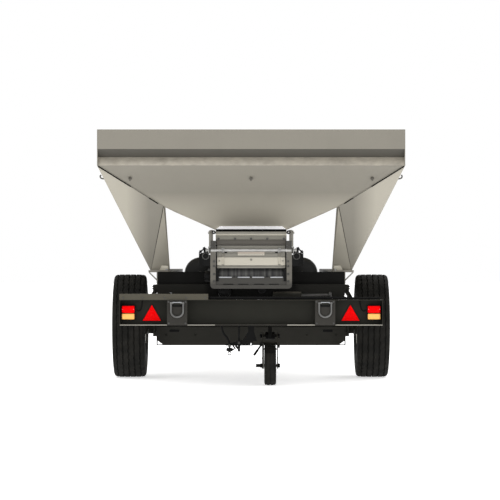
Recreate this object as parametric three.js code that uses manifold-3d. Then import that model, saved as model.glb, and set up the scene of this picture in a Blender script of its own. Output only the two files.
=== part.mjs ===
// Trailed bulk spreader, rear end towards -Y, drawbar towards +Y, +Z up, millimetres.
// A folded steel hopper on a two-rail chassis feeds a belt conveyor; the belt carries the
// material under a sliding gate at the rear outlet. One axle, a drawbar with a towing eye,
// a parking jack, a lamp beam and a small ground wheel complete it.
import * as THREE from 'three';
import { mergeVertices } from 'three/addons/utils/BufferGeometryUtils.js';
import Module from 'manifold-3d';

const wasm = await Module();
wasm.setup();

// ---------------------------------------------------------------- driving dimensions
const LENGTH = 5350;                    // rear rim of the hopper to the front of the towing eye
const REAR = -LENGTH / 2;               // Y of the hopper's rear rim
const GAP = 0.3;                        // clearance between pieces that touch

const HOPPER = {
  length: 3700, halfWidth: 1275, top: 2138, sheet: 5, lip: 40,
  grooveTop: 1976, grooveMiddle: 1909.5, grooveDepth: 60, shoulder: 1840,
  kneeX: 737, kneeZ: 1508, mouthX: 301, mouthZ: 1315, mouthRun: 520, flange: 1240,
};
const RAIL = { outer: 790, width: 120, bottom: 745, top: 956, wall: 8, from: 450, to: 3760 };
const CROSS = { top: 852, width: 100, wall: 8, rear: 350, middle: 2060 };
const AXLE = { y: 1750, z: 460.5, box: 100, halfBox: 849, hubRadius: 71, spindle: 35 };
const WHEEL = { x: 1083, radius: 460.5, segments: 24 };
const BEAM = { rear: 60, depth: 90, bottom: 514, top: 727, halfLength: 1094, sheet: 6 };
const ROLLER = { rearY: 265, frontY: 3500, z: 920, radius: 56.5, shaft: 20, halfWidth: 268 };
const BELT = { inner: 57, outer: 65, halfWidth: 270 };
const TROUGH = { outer: 295.7, sheet: 6, from: 205, to: 3560, bottom: 852.3, hood: 1296 };
const FRAME = { outer: 340, inner: 296, bottom: 818, bar: 30, top: 1218, rear: 150, front: 204.7 };
const GATE = { halfWidth: 284, bottom: 990, top: 1178, rear: 194, sheet: 6, bar: 6 };
const SHAFT = { y: 165, z: 1137, radius: 12, halfLength: 378, pinion: 17 };
const FLAP = { pivotY: 178, pivotZ: 1284, halfWidth: 295.5, bottom: 1228, top: 1294, pin: 6 };
const GROUND = { x: 161, y: 400, radius: 166, halfWidth: 47, pivotY: 620, pivotZ: 410 };
const RING = { x: 614, y: 36, z: 700, bar: 8, radius: 51, drop: 66 };
const JACK = { x: 190, y: 4200, leg: 30, wall: 5, foot: 52.5 };
const DRAWBAR = { half: 60, bottom: 470, top: 650, from: 2060, to: 5180 };
const TANK = { x: 434, z: 941, radius: 133, from: 640, to: 1440 };

const SIDES = [['left', -1], ['right', 1]];

// ---------------------------------------------------------------- materials
const paint = (color, roughness = 0.55, metalness = 0.1) =>
  new THREE.MeshStandardMaterial({ color, roughness, metalness });
const BEIGE = paint(0x9a9588);
const BEIGE_LEG = paint(0x9a968a);
const CREAM = paint(0xd7d2c3);
const DARK = paint(0x33322e, 0.5, 0.2);
const STEEL = paint(0xa9aaac, 0.35, 0.9);
const CHROME = paint(0xe2e4e6, 0.12, 1);
const RUBBER = paint(0x1c1c1d, 0.85, 0);
const BLACK = paint(0x18191b, 0.4, 0.1);
const RED = paint(0xd4141a, 0.2, 0);
const AMBER = paint(0xf0962a, 0.2, 0);

// ---------------------------------------------------------------- geometry helpers
const at = (distance) => REAR + distance;      // Y of a plane this far ahead of the rear rim

/** The points of an outline, counter-clockwise whichever way they were given. */
function counterClockwise(points) {
  const vectors = points.map(([u, v]) => new THREE.Vector2(u, v));
  return THREE.ShapeUtils.area(vectors) < 0 ? vectors.reverse() : vectors;
}

/** A closed outline as a THREE.Shape, with optional holes. */
function shape(points, holes = []) {
  const result = new THREE.Shape(counterClockwise(points));
  result.holes = holes.map((hole) => new THREE.Path(counterClockwise(hole)));
  return result;
}

/** The points of a circle, for outlines and holes. */
function circle(u, v, radius, count = 24) {
  return Array.from({ length: count }, (_, i) => {
    const angle = (2 * Math.PI * i) / count;
    return [u + radius * Math.cos(angle), v + radius * Math.sin(angle)];
  });
}

const extrude = (outline, depth) =>
  new THREE.ExtrudeGeometry(outline, { depth, bevelEnabled: false, curveSegments: 10 });

/** Outline in (distance from rear, Z), extruded from x0 to x1. */
function alongX(points, x0, x1, holes = []) {
  const turn = new THREE.Matrix4().makeBasis(
    new THREE.Vector3(0, 1, 0), new THREE.Vector3(0, 0, 1), new THREE.Vector3(1, 0, 0));
  return extrude(shape(points, holes), x1 - x0).applyMatrix4(turn).translate(x0, REAR, 0);
}

/** Outline in (X, Z), extruded between two distances from the rear. */
function alongY(points, from, to, holes = []) {
  return extrude(shape(points, holes), to - from).rotateX(Math.PI / 2).translate(0, at(to), 0);
}

/** Outline in (X, distance from rear), extruded from z0 to z1. */
function alongZ(points, z0, z1, holes = []) {
  return extrude(shape(points, holes), z1 - z0).translate(0, REAR, z0);
}

/** A box between two corners, its Y given as distances from the rear. */
function block(x0, x1, from, to, z0, z1) {
  return new THREE.BoxGeometry(x1 - x0, to - from, z1 - z0)
    .translate((x0 + x1) / 2, at((from + to) / 2), (z0 + z1) / 2);
}

/** The same box on the left or the right: inner and outer are distances from the middle. */
function sideBlock(side, inner, outer, from, to, z0, z1) {
  const [x0, x1] = side > 0 ? [inner, outer] : [-outer, -inner];
  return block(x0, x1, from, to, z0, z1);
}

/** A round bar along X. */
function barX(radius, x0, x1, distance, z, segments = 24) {
  return new THREE.CylinderGeometry(radius, radius, x1 - x0, segments)
    .rotateZ(Math.PI / 2).translate((x0 + x1) / 2, at(distance), z);
}

/** A round bar along Y. */
function barY(radius, from, to, x, z, segments = 24) {
  return new THREE.CylinderGeometry(radius, radius, to - from, segments)
    .translate(x, at((from + to) / 2), z);
}

/** A round bar along Z. */
function barZ(radius, x, distance, z0, z1, segments = 20) {
  return new THREE.CylinderGeometry(radius, radius, z1 - z0, segments)
    .rotateX(Math.PI / 2).translate(x, at(distance), (z0 + z1) / 2);
}

/** A rectangular bar between two points [x, distance from rear, z]. */
function strut(start, end, width, height) {
  const a = new THREE.Vector3(start[0], at(start[1]), start[2]);
  const b = new THREE.Vector3(end[0], at(end[1]), end[2]);
  const turn = new THREE.Matrix4().lookAt(a, b, new THREE.Vector3(0, 0, 1));
  return new THREE.BoxGeometry(width, height, a.distanceTo(b))
    .applyMatrix4(turn).translate(...a.lerp(b, 0.5).toArray());
}

/** A polyline moved sideways by a distance (to its left), with mitred corners. */
function offsetLine(points, distance) {
  const line = points.map(([u, v]) => new THREE.Vector2(u, v));
  const last = line.length - 1;
  return line.map((point, i) => {
    const into = line[Math.max(i, 1)].clone().sub(line[Math.max(i, 1) - 1]).normalize();
    const out = line[Math.min(i + 1, last)].clone().sub(line[Math.min(i, last - 1)]).normalize();
    const normal = new THREE.Vector2(-out.y, out.x);
    const mitre = new THREE.Vector2(-into.y, into.x).add(normal).normalize();
    const reach = distance / mitre.dot(normal);
    return [point.x + mitre.x * reach, point.y + mitre.y * reach];
  });
}

/** The closed section of a folded sheet whose outer face follows a polyline. */
const sheetSection = (points, thickness) => [...points, ...offsetLine(points, thickness).reverse()];

const mirrored = (points) => points.map(([x, z]) => [-x, z]).reverse();

/** A flat plate of any outline in space: points are [x, distance from rear, z]. */
function plate(points, thickness) {
  const corners = points.map(([x, distance, z]) => new THREE.Vector3(x, at(distance), z));
  const u = corners[1].clone().sub(corners[0]).normalize();
  const normal = u.clone().cross(corners[2].clone().sub(corners[0])).normalize();
  const v = normal.clone().cross(u);
  const flat = corners.map((corner) => {
    const local = corner.clone().sub(corners[0]);
    return [local.dot(u), local.dot(v)];
  });
  return extrude(shape(flat), thickness).translate(0, 0, -thickness / 2)
    .applyMatrix4(new THREE.Matrix4().makeBasis(u, v, normal)).translate(...corners[0].toArray());
}

/** A turned piece about X: profile points are [radius, X], centred on the given point. */
function turned(profile, segments = 32) {
  const points = counterClockwise(profile);
  return new THREE.LatheGeometry([...points, points[0].clone()], segments).rotateZ(-Math.PI / 2);
}

// ---------------------------------------------------------------- joining and cutting
function solid(geometry) {
  const bare = geometry.index ? geometry.toNonIndexed() : geometry.clone();
  bare.deleteAttribute('normal');
  bare.deleteAttribute('uv');
  const merged = mergeVertices(bare, 1e-3);
  return new wasm.Manifold(new wasm.Mesh({
    numProp: 3,
    vertProperties: new Float32Array(merged.attributes.position.array),
    triVerts: new Uint32Array(merged.index.array),
  }));
}

function geometryOf(manifold) {
  const { vertProperties, triVerts } = manifold.getMesh();
  const geometry = new THREE.BufferGeometry();
  geometry.setAttribute('position', new THREE.BufferAttribute(vertProperties, 3));
  geometry.setIndex(new THREE.BufferAttribute(triVerts, 1));
  return geometry;
}

const join = (...parts) => geometryOf(parts.map(solid).reduce((sum, part) => sum.add(part)));
const cut = (body, ...tools) =>
  geometryOf(tools.map(solid).reduce((rest, tool) => rest.subtract(tool), solid(body)));
const common = (a, b) => geometryOf(solid(a).intersect(solid(b)));

const spreader = new THREE.Group();

/** Adds a named piece, flat shaded, to the model or to a group within it. */
function add(name, geometry, material, parent = spreader) {
  const plain = geometry.index ? geometry.toNonIndexed() : geometry;
  plain.computeVertexNormals();
  const mesh = new THREE.Mesh(plain, material);
  mesh.name = name;
  parent.add(mesh);
  return mesh;
}

// ---------------------------------------------------------------- hopper
// Outer face of a side wall in (X, Z), from the rim's lip down to the mouth's flange.
const sideLine = [
  [HOPPER.halfWidth - HOPPER.lip, HOPPER.top], [HOPPER.halfWidth, HOPPER.top],
  [HOPPER.halfWidth, HOPPER.shoulder], [HOPPER.kneeX, HOPPER.kneeZ],
  [HOPPER.mouthX, HOPPER.mouthZ], [HOPPER.mouthX, HOPPER.flange],
];
// Outer face of an end wall in (distance from rear, Z): it ends just above the outlet hood.
const wallFoot = TROUGH.hood + 1;
const wallSlope = HOPPER.mouthRun / (HOPPER.shoulder - HOPPER.mouthZ);
const footRun = HOPPER.mouthRun + (HOPPER.mouthZ - wallFoot) * wallSlope;
const endLine = [
  [HOPPER.lip, HOPPER.top], [0, HOPPER.top], [0, HOPPER.grooveTop],
  [HOPPER.grooveDepth, HOPPER.grooveMiddle], [0, HOPPER.shoulder], [footRun, wallFoot],
];
const aboveRim = HOPPER.top + 100;
const fromFront = (points) => points.map(([y, z]) => [HOPPER.length - y, z]).reverse();

/** The space between the two end walls' outer faces, as a prism along X. */
function betweenEnds(clearance = 0) {
  const slope = offsetLine([[0, aboveRim], [0, HOPPER.shoulder], [footRun, wallFoot]], -clearance);
  const rear = [...slope, [footRun, 1000]];
  const reach = HOPPER.halfWidth + 100;
  return alongX([...rear, ...fromFront(rear)], -reach, reach);
}

/** The space between the two side walls' inner faces, as a prism along Y. */
function betweenSides() {
  const inner = offsetLine(sideLine, -(HOPPER.sheet + GAP));
  const lipEdge = HOPPER.halfWidth - HOPPER.lip - GAP;
  const right = [[lipEdge, aboveRim], [lipEdge, inner[0][1]], ...inner.slice(1)];
  return alongY([...right, ...mirrored(right)], -10, HOPPER.length + 10);
}

/** The whole outside of the hopper with a small clearance, for trimming what carries it. */
function hopperEnvelope() {
  const outer = offsetLine(sideLine.slice(1), GAP);
  const sides = alongY([...outer, ...mirrored(outer)], -10, HOPPER.length + 10);
  return common(sides, betweenEnds(GAP));
}

for (const [name, side] of SIDES) {
  const section = sheetSection(sideLine, -HOPPER.sheet).map(([x, z]) => [side * x, z]);
  const wall = common(alongY(section, 0, HOPPER.length), betweenEnds());
  add(`hopper_${name}_wall`, wall, BEIGE);
}
const endReach = HOPPER.halfWidth;
const rearSection = sheetSection(endLine, HOPPER.sheet);
add('hopper_rear_wall', common(alongX(rearSection, -endReach, endReach), betweenSides()), BEIGE);
add('hopper_front_wall',
  common(alongX(fromFront(rearSection), -endReach, endReach), betweenSides()), BEIGE);

const TIE = { radius: 20, z: 1900 };
const tieReach = HOPPER.halfWidth - HOPPER.sheet - GAP;
[['rear', 1 / 3], ['front', 2 / 3]].forEach(([name, share]) => {
  add(`hopper_tie_${name}`,
    barX(TIE.radius, -tieReach, tieReach, HOPPER.length * share, TIE.z, 16), BEIGE);
});

// ---------------------------------------------------------------- hopper supports
// Each rear leg is a folded plate: one face below the hopper's corner, one facing inwards.
const LEG = {
  sheet: 8, foldY: 329, toeX: 850, toeY: 500, heelX: 699, heelY: 650,
  footInner: 694, footOuter: 870, footFrom: 480, footTo: 680, footSheet: 12,
};
const footBottom = RAIL.top + GAP;
for (const [name, side] of SIDES) {
  const corner = [side * HOPPER.halfWidth, 0, HOPPER.shoulder];
  const fold = [side * HOPPER.kneeX, LEG.foldY, HOPPER.kneeZ];
  const toe = [side * LEG.toeX, LEG.toeY, footBottom + LEG.footSheet / 2];
  const heel = [side * LEG.heelX, LEG.heelY, footBottom + LEG.footSheet / 2];
  const foot = sideBlock(side, LEG.footInner, LEG.footOuter, LEG.footFrom, LEG.footTo,
    footBottom, footBottom + LEG.footSheet);
  const faces = join(plate([corner, fold, toe], LEG.sheet), plate([fold, toe, heel], LEG.sheet));
  const room = block(-HOPPER.halfWidth, HOPPER.halfWidth, 0, 1000, footBottom, HOPPER.shoulder);
  add(`rear_leg_${name}`, join(cut(common(faces, room), hopperEnvelope()), foot), BEIGE_LEG);
}

const SUPPORT = { sheet: 12, outer: 1190, inner: 835, foot: 870, low: 790, clearance: 3 };
const underSide = (x) => HOPPER.shoulder - SUPPORT.clearance
  - ((HOPPER.halfWidth - x) * (HOPPER.shoulder - HOPPER.kneeZ)) / (HOPPER.halfWidth - HOPPER.kneeX);
const supportOutline = [
  [SUPPORT.outer, underSide(SUPPORT.outer)], [SUPPORT.foot, RAIL.top],
  [SUPPORT.foot, SUPPORT.low], [RAIL.outer + GAP, SUPPORT.low], [RAIL.outer + GAP, RAIL.top],
  [SUPPORT.inner, underSide(SUPPORT.inner)],
];
for (const [name, side] of SIDES) {
  const outline = supportOutline.map(([x, z]) => [side * x, z]);
  [['middle', 2300], ['front', 3580]].forEach(([place, distance]) => {
    add(`side_support_${name}_${place}`,
      alongY(outline, distance, distance + SUPPORT.sheet), BEIGE_LEG);
  });
}

// ---------------------------------------------------------------- chassis
const rectangle = (u0, u1, v0, v1) => [[u0, v0], [u1, v0], [u1, v1], [u0, v1]];

for (const [name, side] of SIDES) {
  const inner = RAIL.outer - RAIL.width;
  const outline = rectangle(inner, RAIL.outer, RAIL.bottom, RAIL.top).map(([x, z]) => [side * x, z]);
  const hollow = rectangle(inner + RAIL.wall, RAIL.outer - RAIL.wall,
    RAIL.bottom + RAIL.wall, RAIL.top - RAIL.wall).map(([x, z]) => [side * x, z]);
  add(`rail_${name}`, alongY(outline, RAIL.from + GAP, RAIL.to - GAP, [hollow]), DARK);
}

/** A hollow cross-member between two distances from the rear. */
function crossTube(from, reach) {
  const outline = rectangle(from, from + CROSS.width, RAIL.bottom, CROSS.top);
  const hollow = rectangle(from + CROSS.wall, from + CROSS.width - CROSS.wall,
    RAIL.bottom + CROSS.wall, CROSS.top - CROSS.wall);
  return alongX(outline, -reach, reach, [hollow]);
}

// The rear cross-member closes the rails' ends. It carries two upstand plates beside the
// conveyor and the hanger of the ground wheel's arm.
const UPSTAND = { inner: 300, outer: RAIL.outer, sheet: 8 };
const HANGER = { inner: 145, outer: 177, boss: 32, bossInner: 121, bossOuter: 201, bore: 14.6 };
const upstand = (side) => sideBlock(side, UPSTAND.inner, UPSTAND.outer,
  RAIL.from - UPSTAND.sheet, RAIL.from, CROSS.top - 5, RAIL.top);
const hangerPlate = alongX([
  [360, RAIL.bottom + 4], [450, RAIL.bottom + 4], [GROUND.pivotY + 28, 430],
  [GROUND.pivotY + 28, 395], [GROUND.pivotY - 28, 395], [360, 640],
], HANGER.inner, HANGER.outer);
const hangerBoss = barX(HANGER.boss, HANGER.bossInner, HANGER.bossOuter,
  GROUND.pivotY, GROUND.pivotZ);
const hangerBore = barX(HANGER.bore, HANGER.bossInner - 10, HANGER.bossOuter + 10,
  GROUND.pivotY, GROUND.pivotZ);
const CORNER = 28;
const roundedEnds = () => {
  const low = RAIL.bottom;
  const arc = Array.from({ length: 7 }, (_, i) => {
    const angle = (Math.PI / 2) * (i / 6);
    return [RAIL.outer - CORNER + CORNER * Math.sin(angle), low + CORNER - CORNER * Math.cos(angle)];
  });
  const right = [...arc, [RAIL.outer, CROSS.top + 10]];
  return alongY([...right, ...mirrored(right)], CROSS.rear - 10, CROSS.rear + CROSS.width + 10);
};
add('rear_cross_member', cut(
  join(common(crossTube(CROSS.rear, RAIL.outer), roundedEnds()),
    upstand(1), upstand(-1), hangerPlate, hangerBoss),
  hangerBore), DARK);
add('middle_cross_member', crossTube(CROSS.middle, RAIL.outer - RAIL.width - GAP), DARK);
add('front_cross_member', crossTube(RAIL.to, RAIL.outer), DARK);

// ---------------------------------------------------------------- drawbar, eye and jack
const STAY = { width: 60, height: 90 };
const drawbarTube = alongY(
  rectangle(-DRAWBAR.half, DRAWBAR.half, DRAWBAR.bottom, DRAWBAR.top), DRAWBAR.from, DRAWBAR.to,
  [rectangle(-DRAWBAR.half + 10, DRAWBAR.half - 10, DRAWBAR.bottom + 10, DRAWBAR.top - 10)]);
const stay = (side) => strut([side * 690, RAIL.to + 30, 690], [side * 40, 4780, 560],
  STAY.width, STAY.height);
const stayPost = (side) => sideBlock(side, 655, 725, RAIL.to, RAIL.to + CROSS.width,
  640, RAIL.bottom - GAP);
const post = (from) => block(-DRAWBAR.half, DRAWBAR.half, from, from + CROSS.width,
  DRAWBAR.top - 5, RAIL.bottom - GAP);
const drawbarEnd = block(-DRAWBAR.half, DRAWBAR.half, DRAWBAR.to - 12, DRAWBAR.to,
  DRAWBAR.bottom, DRAWBAR.top);
const drawbarBore = alongY(
  rectangle(-DRAWBAR.half + 10, DRAWBAR.half - 10, DRAWBAR.bottom + 10, DRAWBAR.top - 10),
  DRAWBAR.from - 10, DRAWBAR.to - 20);
add('drawbar', cut(join(drawbarTube, stay(1), stay(-1), stayPost(1), stayPost(-1),
  post(CROSS.middle), post(RAIL.to), drawbarEnd), drawbarBore), DARK);

const EYE = { radius: 60, bore: 26, halfHeight: 20, z: 560, shank: 32 };
const eyeCentre = LENGTH - EYE.radius;
const shank = block(-EYE.shank, EYE.shank, DRAWBAR.to + GAP, eyeCentre - 30,
  EYE.z - EYE.halfHeight - 8, EYE.z + EYE.halfHeight + 8);
const flange = block(-50, 50, DRAWBAR.to + GAP, DRAWBAR.to + 20, EYE.z - 60, EYE.z + 60);
const ring = barZ(EYE.radius, 0, eyeCentre, EYE.z - EYE.halfHeight, EYE.z + EYE.halfHeight, 32);
const eyeBore = barZ(EYE.bore, 0, eyeCentre, EYE.z - 60, EYE.z + 60, 32);
add('towing_eye', cut(join(flange, shank, ring), eyeBore), DARK);

const square = (x, y, half) => rectangle(x - half, x + half, y - half, y + half);
const sleeveHalf = JACK.leg + 0.5 + JACK.wall;
const sleeve = alongZ(square(JACK.x, JACK.y, sleeveHalf), 330, 720,
  [square(JACK.x, JACK.y, JACK.leg + 0.5)]);
const sleeveBracket = block(DRAWBAR.half + GAP, JACK.x - sleeveHalf + 2, JACK.y - 25, JACK.y + 25,
  500, 630);
add('jack_sleeve', join(sleeve, sleeveBracket), DARK);
const jackLeg = alongZ(square(JACK.x, JACK.y, JACK.leg), 8, 700);
const jackFoot = block(JACK.x - JACK.foot, JACK.x + JACK.foot, JACK.y - JACK.foot,
  JACK.y + JACK.foot, 0, 12);
add('jack_leg', join(jackLeg, jackFoot), STEEL);

// ---------------------------------------------------------------- axle and wheels
const axleHalf = AXLE.box / 2;
const hubs = SIDES.map(([, side]) => barX(AXLE.hubRadius,
  side > 0 ? AXLE.halfBox : -922, side > 0 ? 922 : -AXLE.halfBox, AXLE.y, AXLE.z, 28));
const spindles = barX(AXLE.spindle, -WHEEL.x, WHEEL.x, AXLE.y, AXLE.z, 28);
const axlePost = (side) => sideBlock(side, 670, 730, AXLE.y - axleHalf, AXLE.y + axleHalf,
  AXLE.z, RAIL.bottom - GAP);
add('axle_beam', join(
  block(-AXLE.halfBox - 2, AXLE.halfBox + 2, AXLE.y - axleHalf, AXLE.y + axleHalf,
    AXLE.z - axleHalf, AXLE.z + axleHalf),
  ...hubs, spindles, axlePost(1), axlePost(-1)), DARK);

// The cradle is the deep plate behind the axle, with a side plate and a brace at each end.
const CRADLE = { half: 848, bottom: 286, top: 457, rear: 1686, sheet: 12,
  plateFrom: 1656, plateTo: 1844 };
const cornerHole = (side) => [[side * 838, 326], [side * 838, 294], [side * 792, 294]];
const notch = [[-14, CRADLE.bottom - 5], [0, CRADLE.bottom + 22], [14, CRADLE.bottom - 5]];
const cradlePlate = cut(
  alongY(rectangle(-CRADLE.half, CRADLE.half, CRADLE.bottom, CRADLE.top), CRADLE.rear,
    CRADLE.rear + CRADLE.sheet),
  alongY(cornerHole(1), CRADLE.rear - 5, CRADLE.rear + 25),
  alongY(cornerHole(-1), CRADLE.rear - 5, CRADLE.rear + 25),
  alongY(notch, CRADLE.rear - 5, CRADLE.rear + 25));
const cradleFlange = block(-CRADLE.half, CRADLE.half, CRADLE.rear - 14, CRADLE.rear + 2, 432, 449);
const sidePlate = (side) => cut(
  sideBlock(side, 866, 878, CRADLE.plateFrom, CRADLE.plateTo, 367, 830),
  barX(AXLE.hubRadius + 1, side * 872 - 20, side * 872 + 20, AXLE.y, AXLE.z, 28));
const cradleLink = (side) => sideBlock(side, 840, 870, CRADLE.rear, CRADLE.rear + CRADLE.sheet,
  367, 400);
const outrigger = (side) => sideBlock(side, RAIL.outer + GAP, 870,
  CRADLE.plateFrom, CRADLE.plateTo, 790, 830);
const brace = (side) => strut([side * 844, AXLE.y, 799], [side * 905, AXLE.y, 690], 12, 40);
add('axle_cradle', join(cradlePlate, cradleFlange, ...SIDES.flatMap(([, side]) =>
  [sidePlate(side), cradleLink(side), outrigger(side), brace(side)])), DARK);

// Radius and axial place of the wheel's sections, from the wheel's own centre.
const rimSection = [
  [36, -156], [78, -156], [78, -12], [172, -12], [172, -117], [198, -130], [206, -124],
  [184, -106], [184, 106], [206, 124], [198, 130], [172, 117], [172, 2], [78, 2], [78, 22], [36, 22],
];
const tyreOuter = [[186, 98], [209, 117], [240, 139], [330, 146], [430, 143],
  [WHEEL.radius, 124]];
const tyreInner = [[200, 87], [222, 107], [252, 127], [330, 132], [418, 129], [446, 112]];
const bothSides = (half) => [...half, ...half.map(([r, x]) => [r, -x]).reverse()];
const tyreSection = [...bothSides(tyreOuter), ...bothSides(tyreInner).reverse()];
for (const [name, side] of SIDES) {
  const wheel = new THREE.Group();
  wheel.position.set(side * WHEEL.x, at(AXLE.y), AXLE.z);
  if (side < 0) wheel.rotation.z = Math.PI;
  spreader.add(wheel);
  add(`wheel_rim_${name}`, turned(rimSection, WHEEL.segments), CREAM, wheel);
  add(`tyre_${name}`, turned(tyreSection, WHEEL.segments), RUBBER, wheel);
}

// ---------------------------------------------------------------- lamp beam, lamps and rings
const beamFront = BEAM.rear + BEAM.depth;
const beamWeb = beamFront - BEAM.sheet;
const beamChannel = alongX([
  [BEAM.rear, BEAM.bottom], [beamFront, BEAM.bottom], [beamFront, BEAM.top],
  [BEAM.rear, BEAM.top], [BEAM.rear, BEAM.top - BEAM.sheet], [beamWeb, BEAM.top - BEAM.sheet],
  [beamWeb, BEAM.bottom + BEAM.sheet], [BEAM.rear, BEAM.bottom + BEAM.sheet],
], -BEAM.halfLength, BEAM.halfLength);
const LASHING = { inner: 530, outer: 699, bottom: 514.5, sheet: 8, lugHalf: 28, lugHeight: 14 };
const beamEnd = (side) => sideBlock(side, BEAM.halfLength - BEAM.sheet, BEAM.halfLength,
  BEAM.rear, beamFront, BEAM.bottom, BEAM.top);
const beamArm = (side) => {
  const outline = [[beamWeb + 2, 540], [250, 540], [450, 690], [450, RAIL.bottom - GAP],
    [360, RAIL.bottom - GAP], [beamWeb + 2, 720]];
  return side > 0 ? alongX(outline, 608, 623) : alongX(outline, -623, -608);
};
const lashingPlate = (side) => sideBlock(side, LASHING.inner, LASHING.outer,
  BEAM.rear - LASHING.sheet, BEAM.rear + 1, LASHING.bottom, BEAM.top - 1);
const lug = (side) => sideBlock(side, RING.x - LASHING.lugHalf, RING.x + LASHING.lugHalf,
  RING.y - LASHING.lugHeight, BEAM.rear - LASHING.sheet + 2,
  RING.z - LASHING.lugHeight, RING.z + LASHING.lugHeight);
const lugBore = barX(RING.bar + 0.7, -700, 700, RING.y, RING.z, 16);
add('lamp_beam', cut(join(beamChannel, ...SIDES.flatMap(([, side]) =>
  [beamEnd(side), beamArm(side), lashingPlate(side), lug(side)])), lugBore), DARK);

/** A round bar bent along a smooth curve through points [x, distance from rear, z]. */
function bentBar(points, radius, steps, sides = 8) {
  const curve = new THREE.CatmullRomCurve3(
    points.map(([x, distance, z]) => new THREE.Vector3(x, at(distance), z)), false, 'centripetal');
  return new THREE.ExtrudeGeometry(shape(circle(0, 0, radius, sides)),
    { steps, extrudePath: curve, bevelEnabled: false });
}

// Each lashing ring is a D: a straight bar held in the lug, and a bow hanging from it.
const bow = Array.from({ length: 9 }, (_, i) => {
  const angle = Math.PI * (i / 8);
  return [-RING.radius * Math.cos(angle), -RING.drop - RING.radius * Math.sin(angle)];
});
const bowLine = [[-RING.radius, 0], [-RING.radius, -RING.drop / 2], ...bow,
  [RING.radius, -RING.drop / 2], [RING.radius, 0]];
for (const [name, side] of SIDES) {
  const centre = side * RING.x;
  const bar = barX(RING.bar, centre - RING.radius - RING.bar, centre + RING.radius + RING.bar,
    RING.y, RING.z, 16);
  const path = bowLine.map(([x, z]) => [centre + x, RING.y, RING.z + z]);
  add(`lashing_ring_${name}`, join(bar, bentBar(path, RING.bar - 0.2, 16)), STEEL);
}

const LAMP = { inner: 968, outer: 1077, rear: 78, stopBottom: 617, stopTop: 678,
  turnBottom: 562, turnTop: 612.8 };
const REFLECTOR = { x: 827, half: 79, bottom: 550, top: 687, rear: 132 };
for (const [name, side] of SIDES) {
  const front = beamWeb - GAP;
  add(`stop_lamp_${name}`, sideBlock(side, LAMP.inner, LAMP.outer, LAMP.rear, front,
    LAMP.stopBottom, LAMP.stopTop), RED);
  add(`turn_lamp_${name}`, sideBlock(side, LAMP.inner, LAMP.outer, LAMP.rear, front,
    LAMP.turnBottom, LAMP.turnTop), AMBER);
  const triangle = [[-REFLECTOR.half, REFLECTOR.bottom], [REFLECTOR.half, REFLECTOR.bottom],
    [0, REFLECTOR.top]].map(([x, z]) => [side * REFLECTOR.x + x, z]);
  add(`reflector_${name}`, alongY(triangle, REFLECTOR.rear, front), RED);
}

const STEP = { from: -BEAM.halfLength, to: -357, top: 775, sheet: 5 };
const stepLine = [[BEAM.rear, BEAM.top + GAP], [BEAM.rear, STEP.top], [beamFront, STEP.top],
  [beamFront, BEAM.top + GAP]];
add('step_board', alongX(sheetSection(stepLine, -STEP.sheet), STEP.from, STEP.to), DARK);

// ---------------------------------------------------------------- conveyor
const troughInner = TROUGH.outer - TROUGH.sheet;
const HOOD = { length: 355, bed: 970, bedFrom: 340, bedTo: 3420, endBottom: 1000 };
const troughSide = (side) => sideBlock(side, troughInner, TROUGH.outer, TROUGH.from, TROUGH.to,
  TROUGH.bottom, TROUGH.hood);
const hoodPlate = (from, to) => block(-TROUGH.outer, TROUGH.outer, from, to,
  TROUGH.hood - TROUGH.sheet, TROUGH.hood);
const shaftBore = (distance) => barX(ROLLER.shaft + 0.5, -TROUGH.outer - 10, TROUGH.outer + 10,
  distance, ROLLER.z);
add('conveyor_trough', cut(
  join(troughSide(1), troughSide(-1),
    block(-troughInner - 1, troughInner + 1, HOOD.bedFrom, HOOD.bedTo, HOOD.bed, HOOD.bed + 6.4),
    hoodPlate(TROUGH.from, TROUGH.from + HOOD.length),
    hoodPlate(TROUGH.to - HOOD.length - 65, TROUGH.to),
    block(-TROUGH.outer, TROUGH.outer, TROUGH.to - TROUGH.sheet, TROUGH.to,
      HOOD.endBottom, TROUGH.hood)),
  shaftBore(ROLLER.rearY), shaftBore(ROLLER.frontY)), DARK);

/** The closed outline of a belt of this radius around the two rollers. */
function beltLine(radius) {
  const half = (centre, start) => Array.from({ length: 13 }, (_, i) => {
    const angle = start + Math.PI * (i / 12);
    return [centre + radius * Math.cos(angle), ROLLER.z + radius * Math.sin(angle)];
  });
  return [...half(ROLLER.rearY, Math.PI / 2), ...half(ROLLER.frontY, -Math.PI / 2)];
}
add('conveyor_belt', alongX(beltLine(BELT.outer), -BELT.halfWidth, BELT.halfWidth,
  [beltLine(BELT.inner + 1)]), RUBBER);

const roller = (distance, shaftLeft, shaftRight) => join(
  barX(ROLLER.radius, -ROLLER.halfWidth, ROLLER.halfWidth, distance, ROLLER.z, 32),
  barX(ROLLER.shaft, shaftLeft, shaftRight, distance, ROLLER.z));
add('drive_roller', roller(ROLLER.rearY, -300, 312), STEEL);
add('idler_roller', roller(ROLLER.frontY, -312, 312), STEEL);

const MOTOR = { flange: 56, body: 46, from: TROUGH.outer + GAP, step: 308, to: 395, seat: 306 };
add('belt_motor', turned([
  [ROLLER.shaft + 1, -MOTOR.from], [MOTOR.flange, -MOTOR.from], [MOTOR.flange, -MOTOR.step],
  [MOTOR.body, -MOTOR.step], [MOTOR.body, -MOTOR.to], [0, -MOTOR.to], [0, -MOTOR.seat],
  [ROLLER.shaft + 1, -MOTOR.seat],
]).translate(0, at(ROLLER.rearY), ROLLER.z), BLACK);

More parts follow.
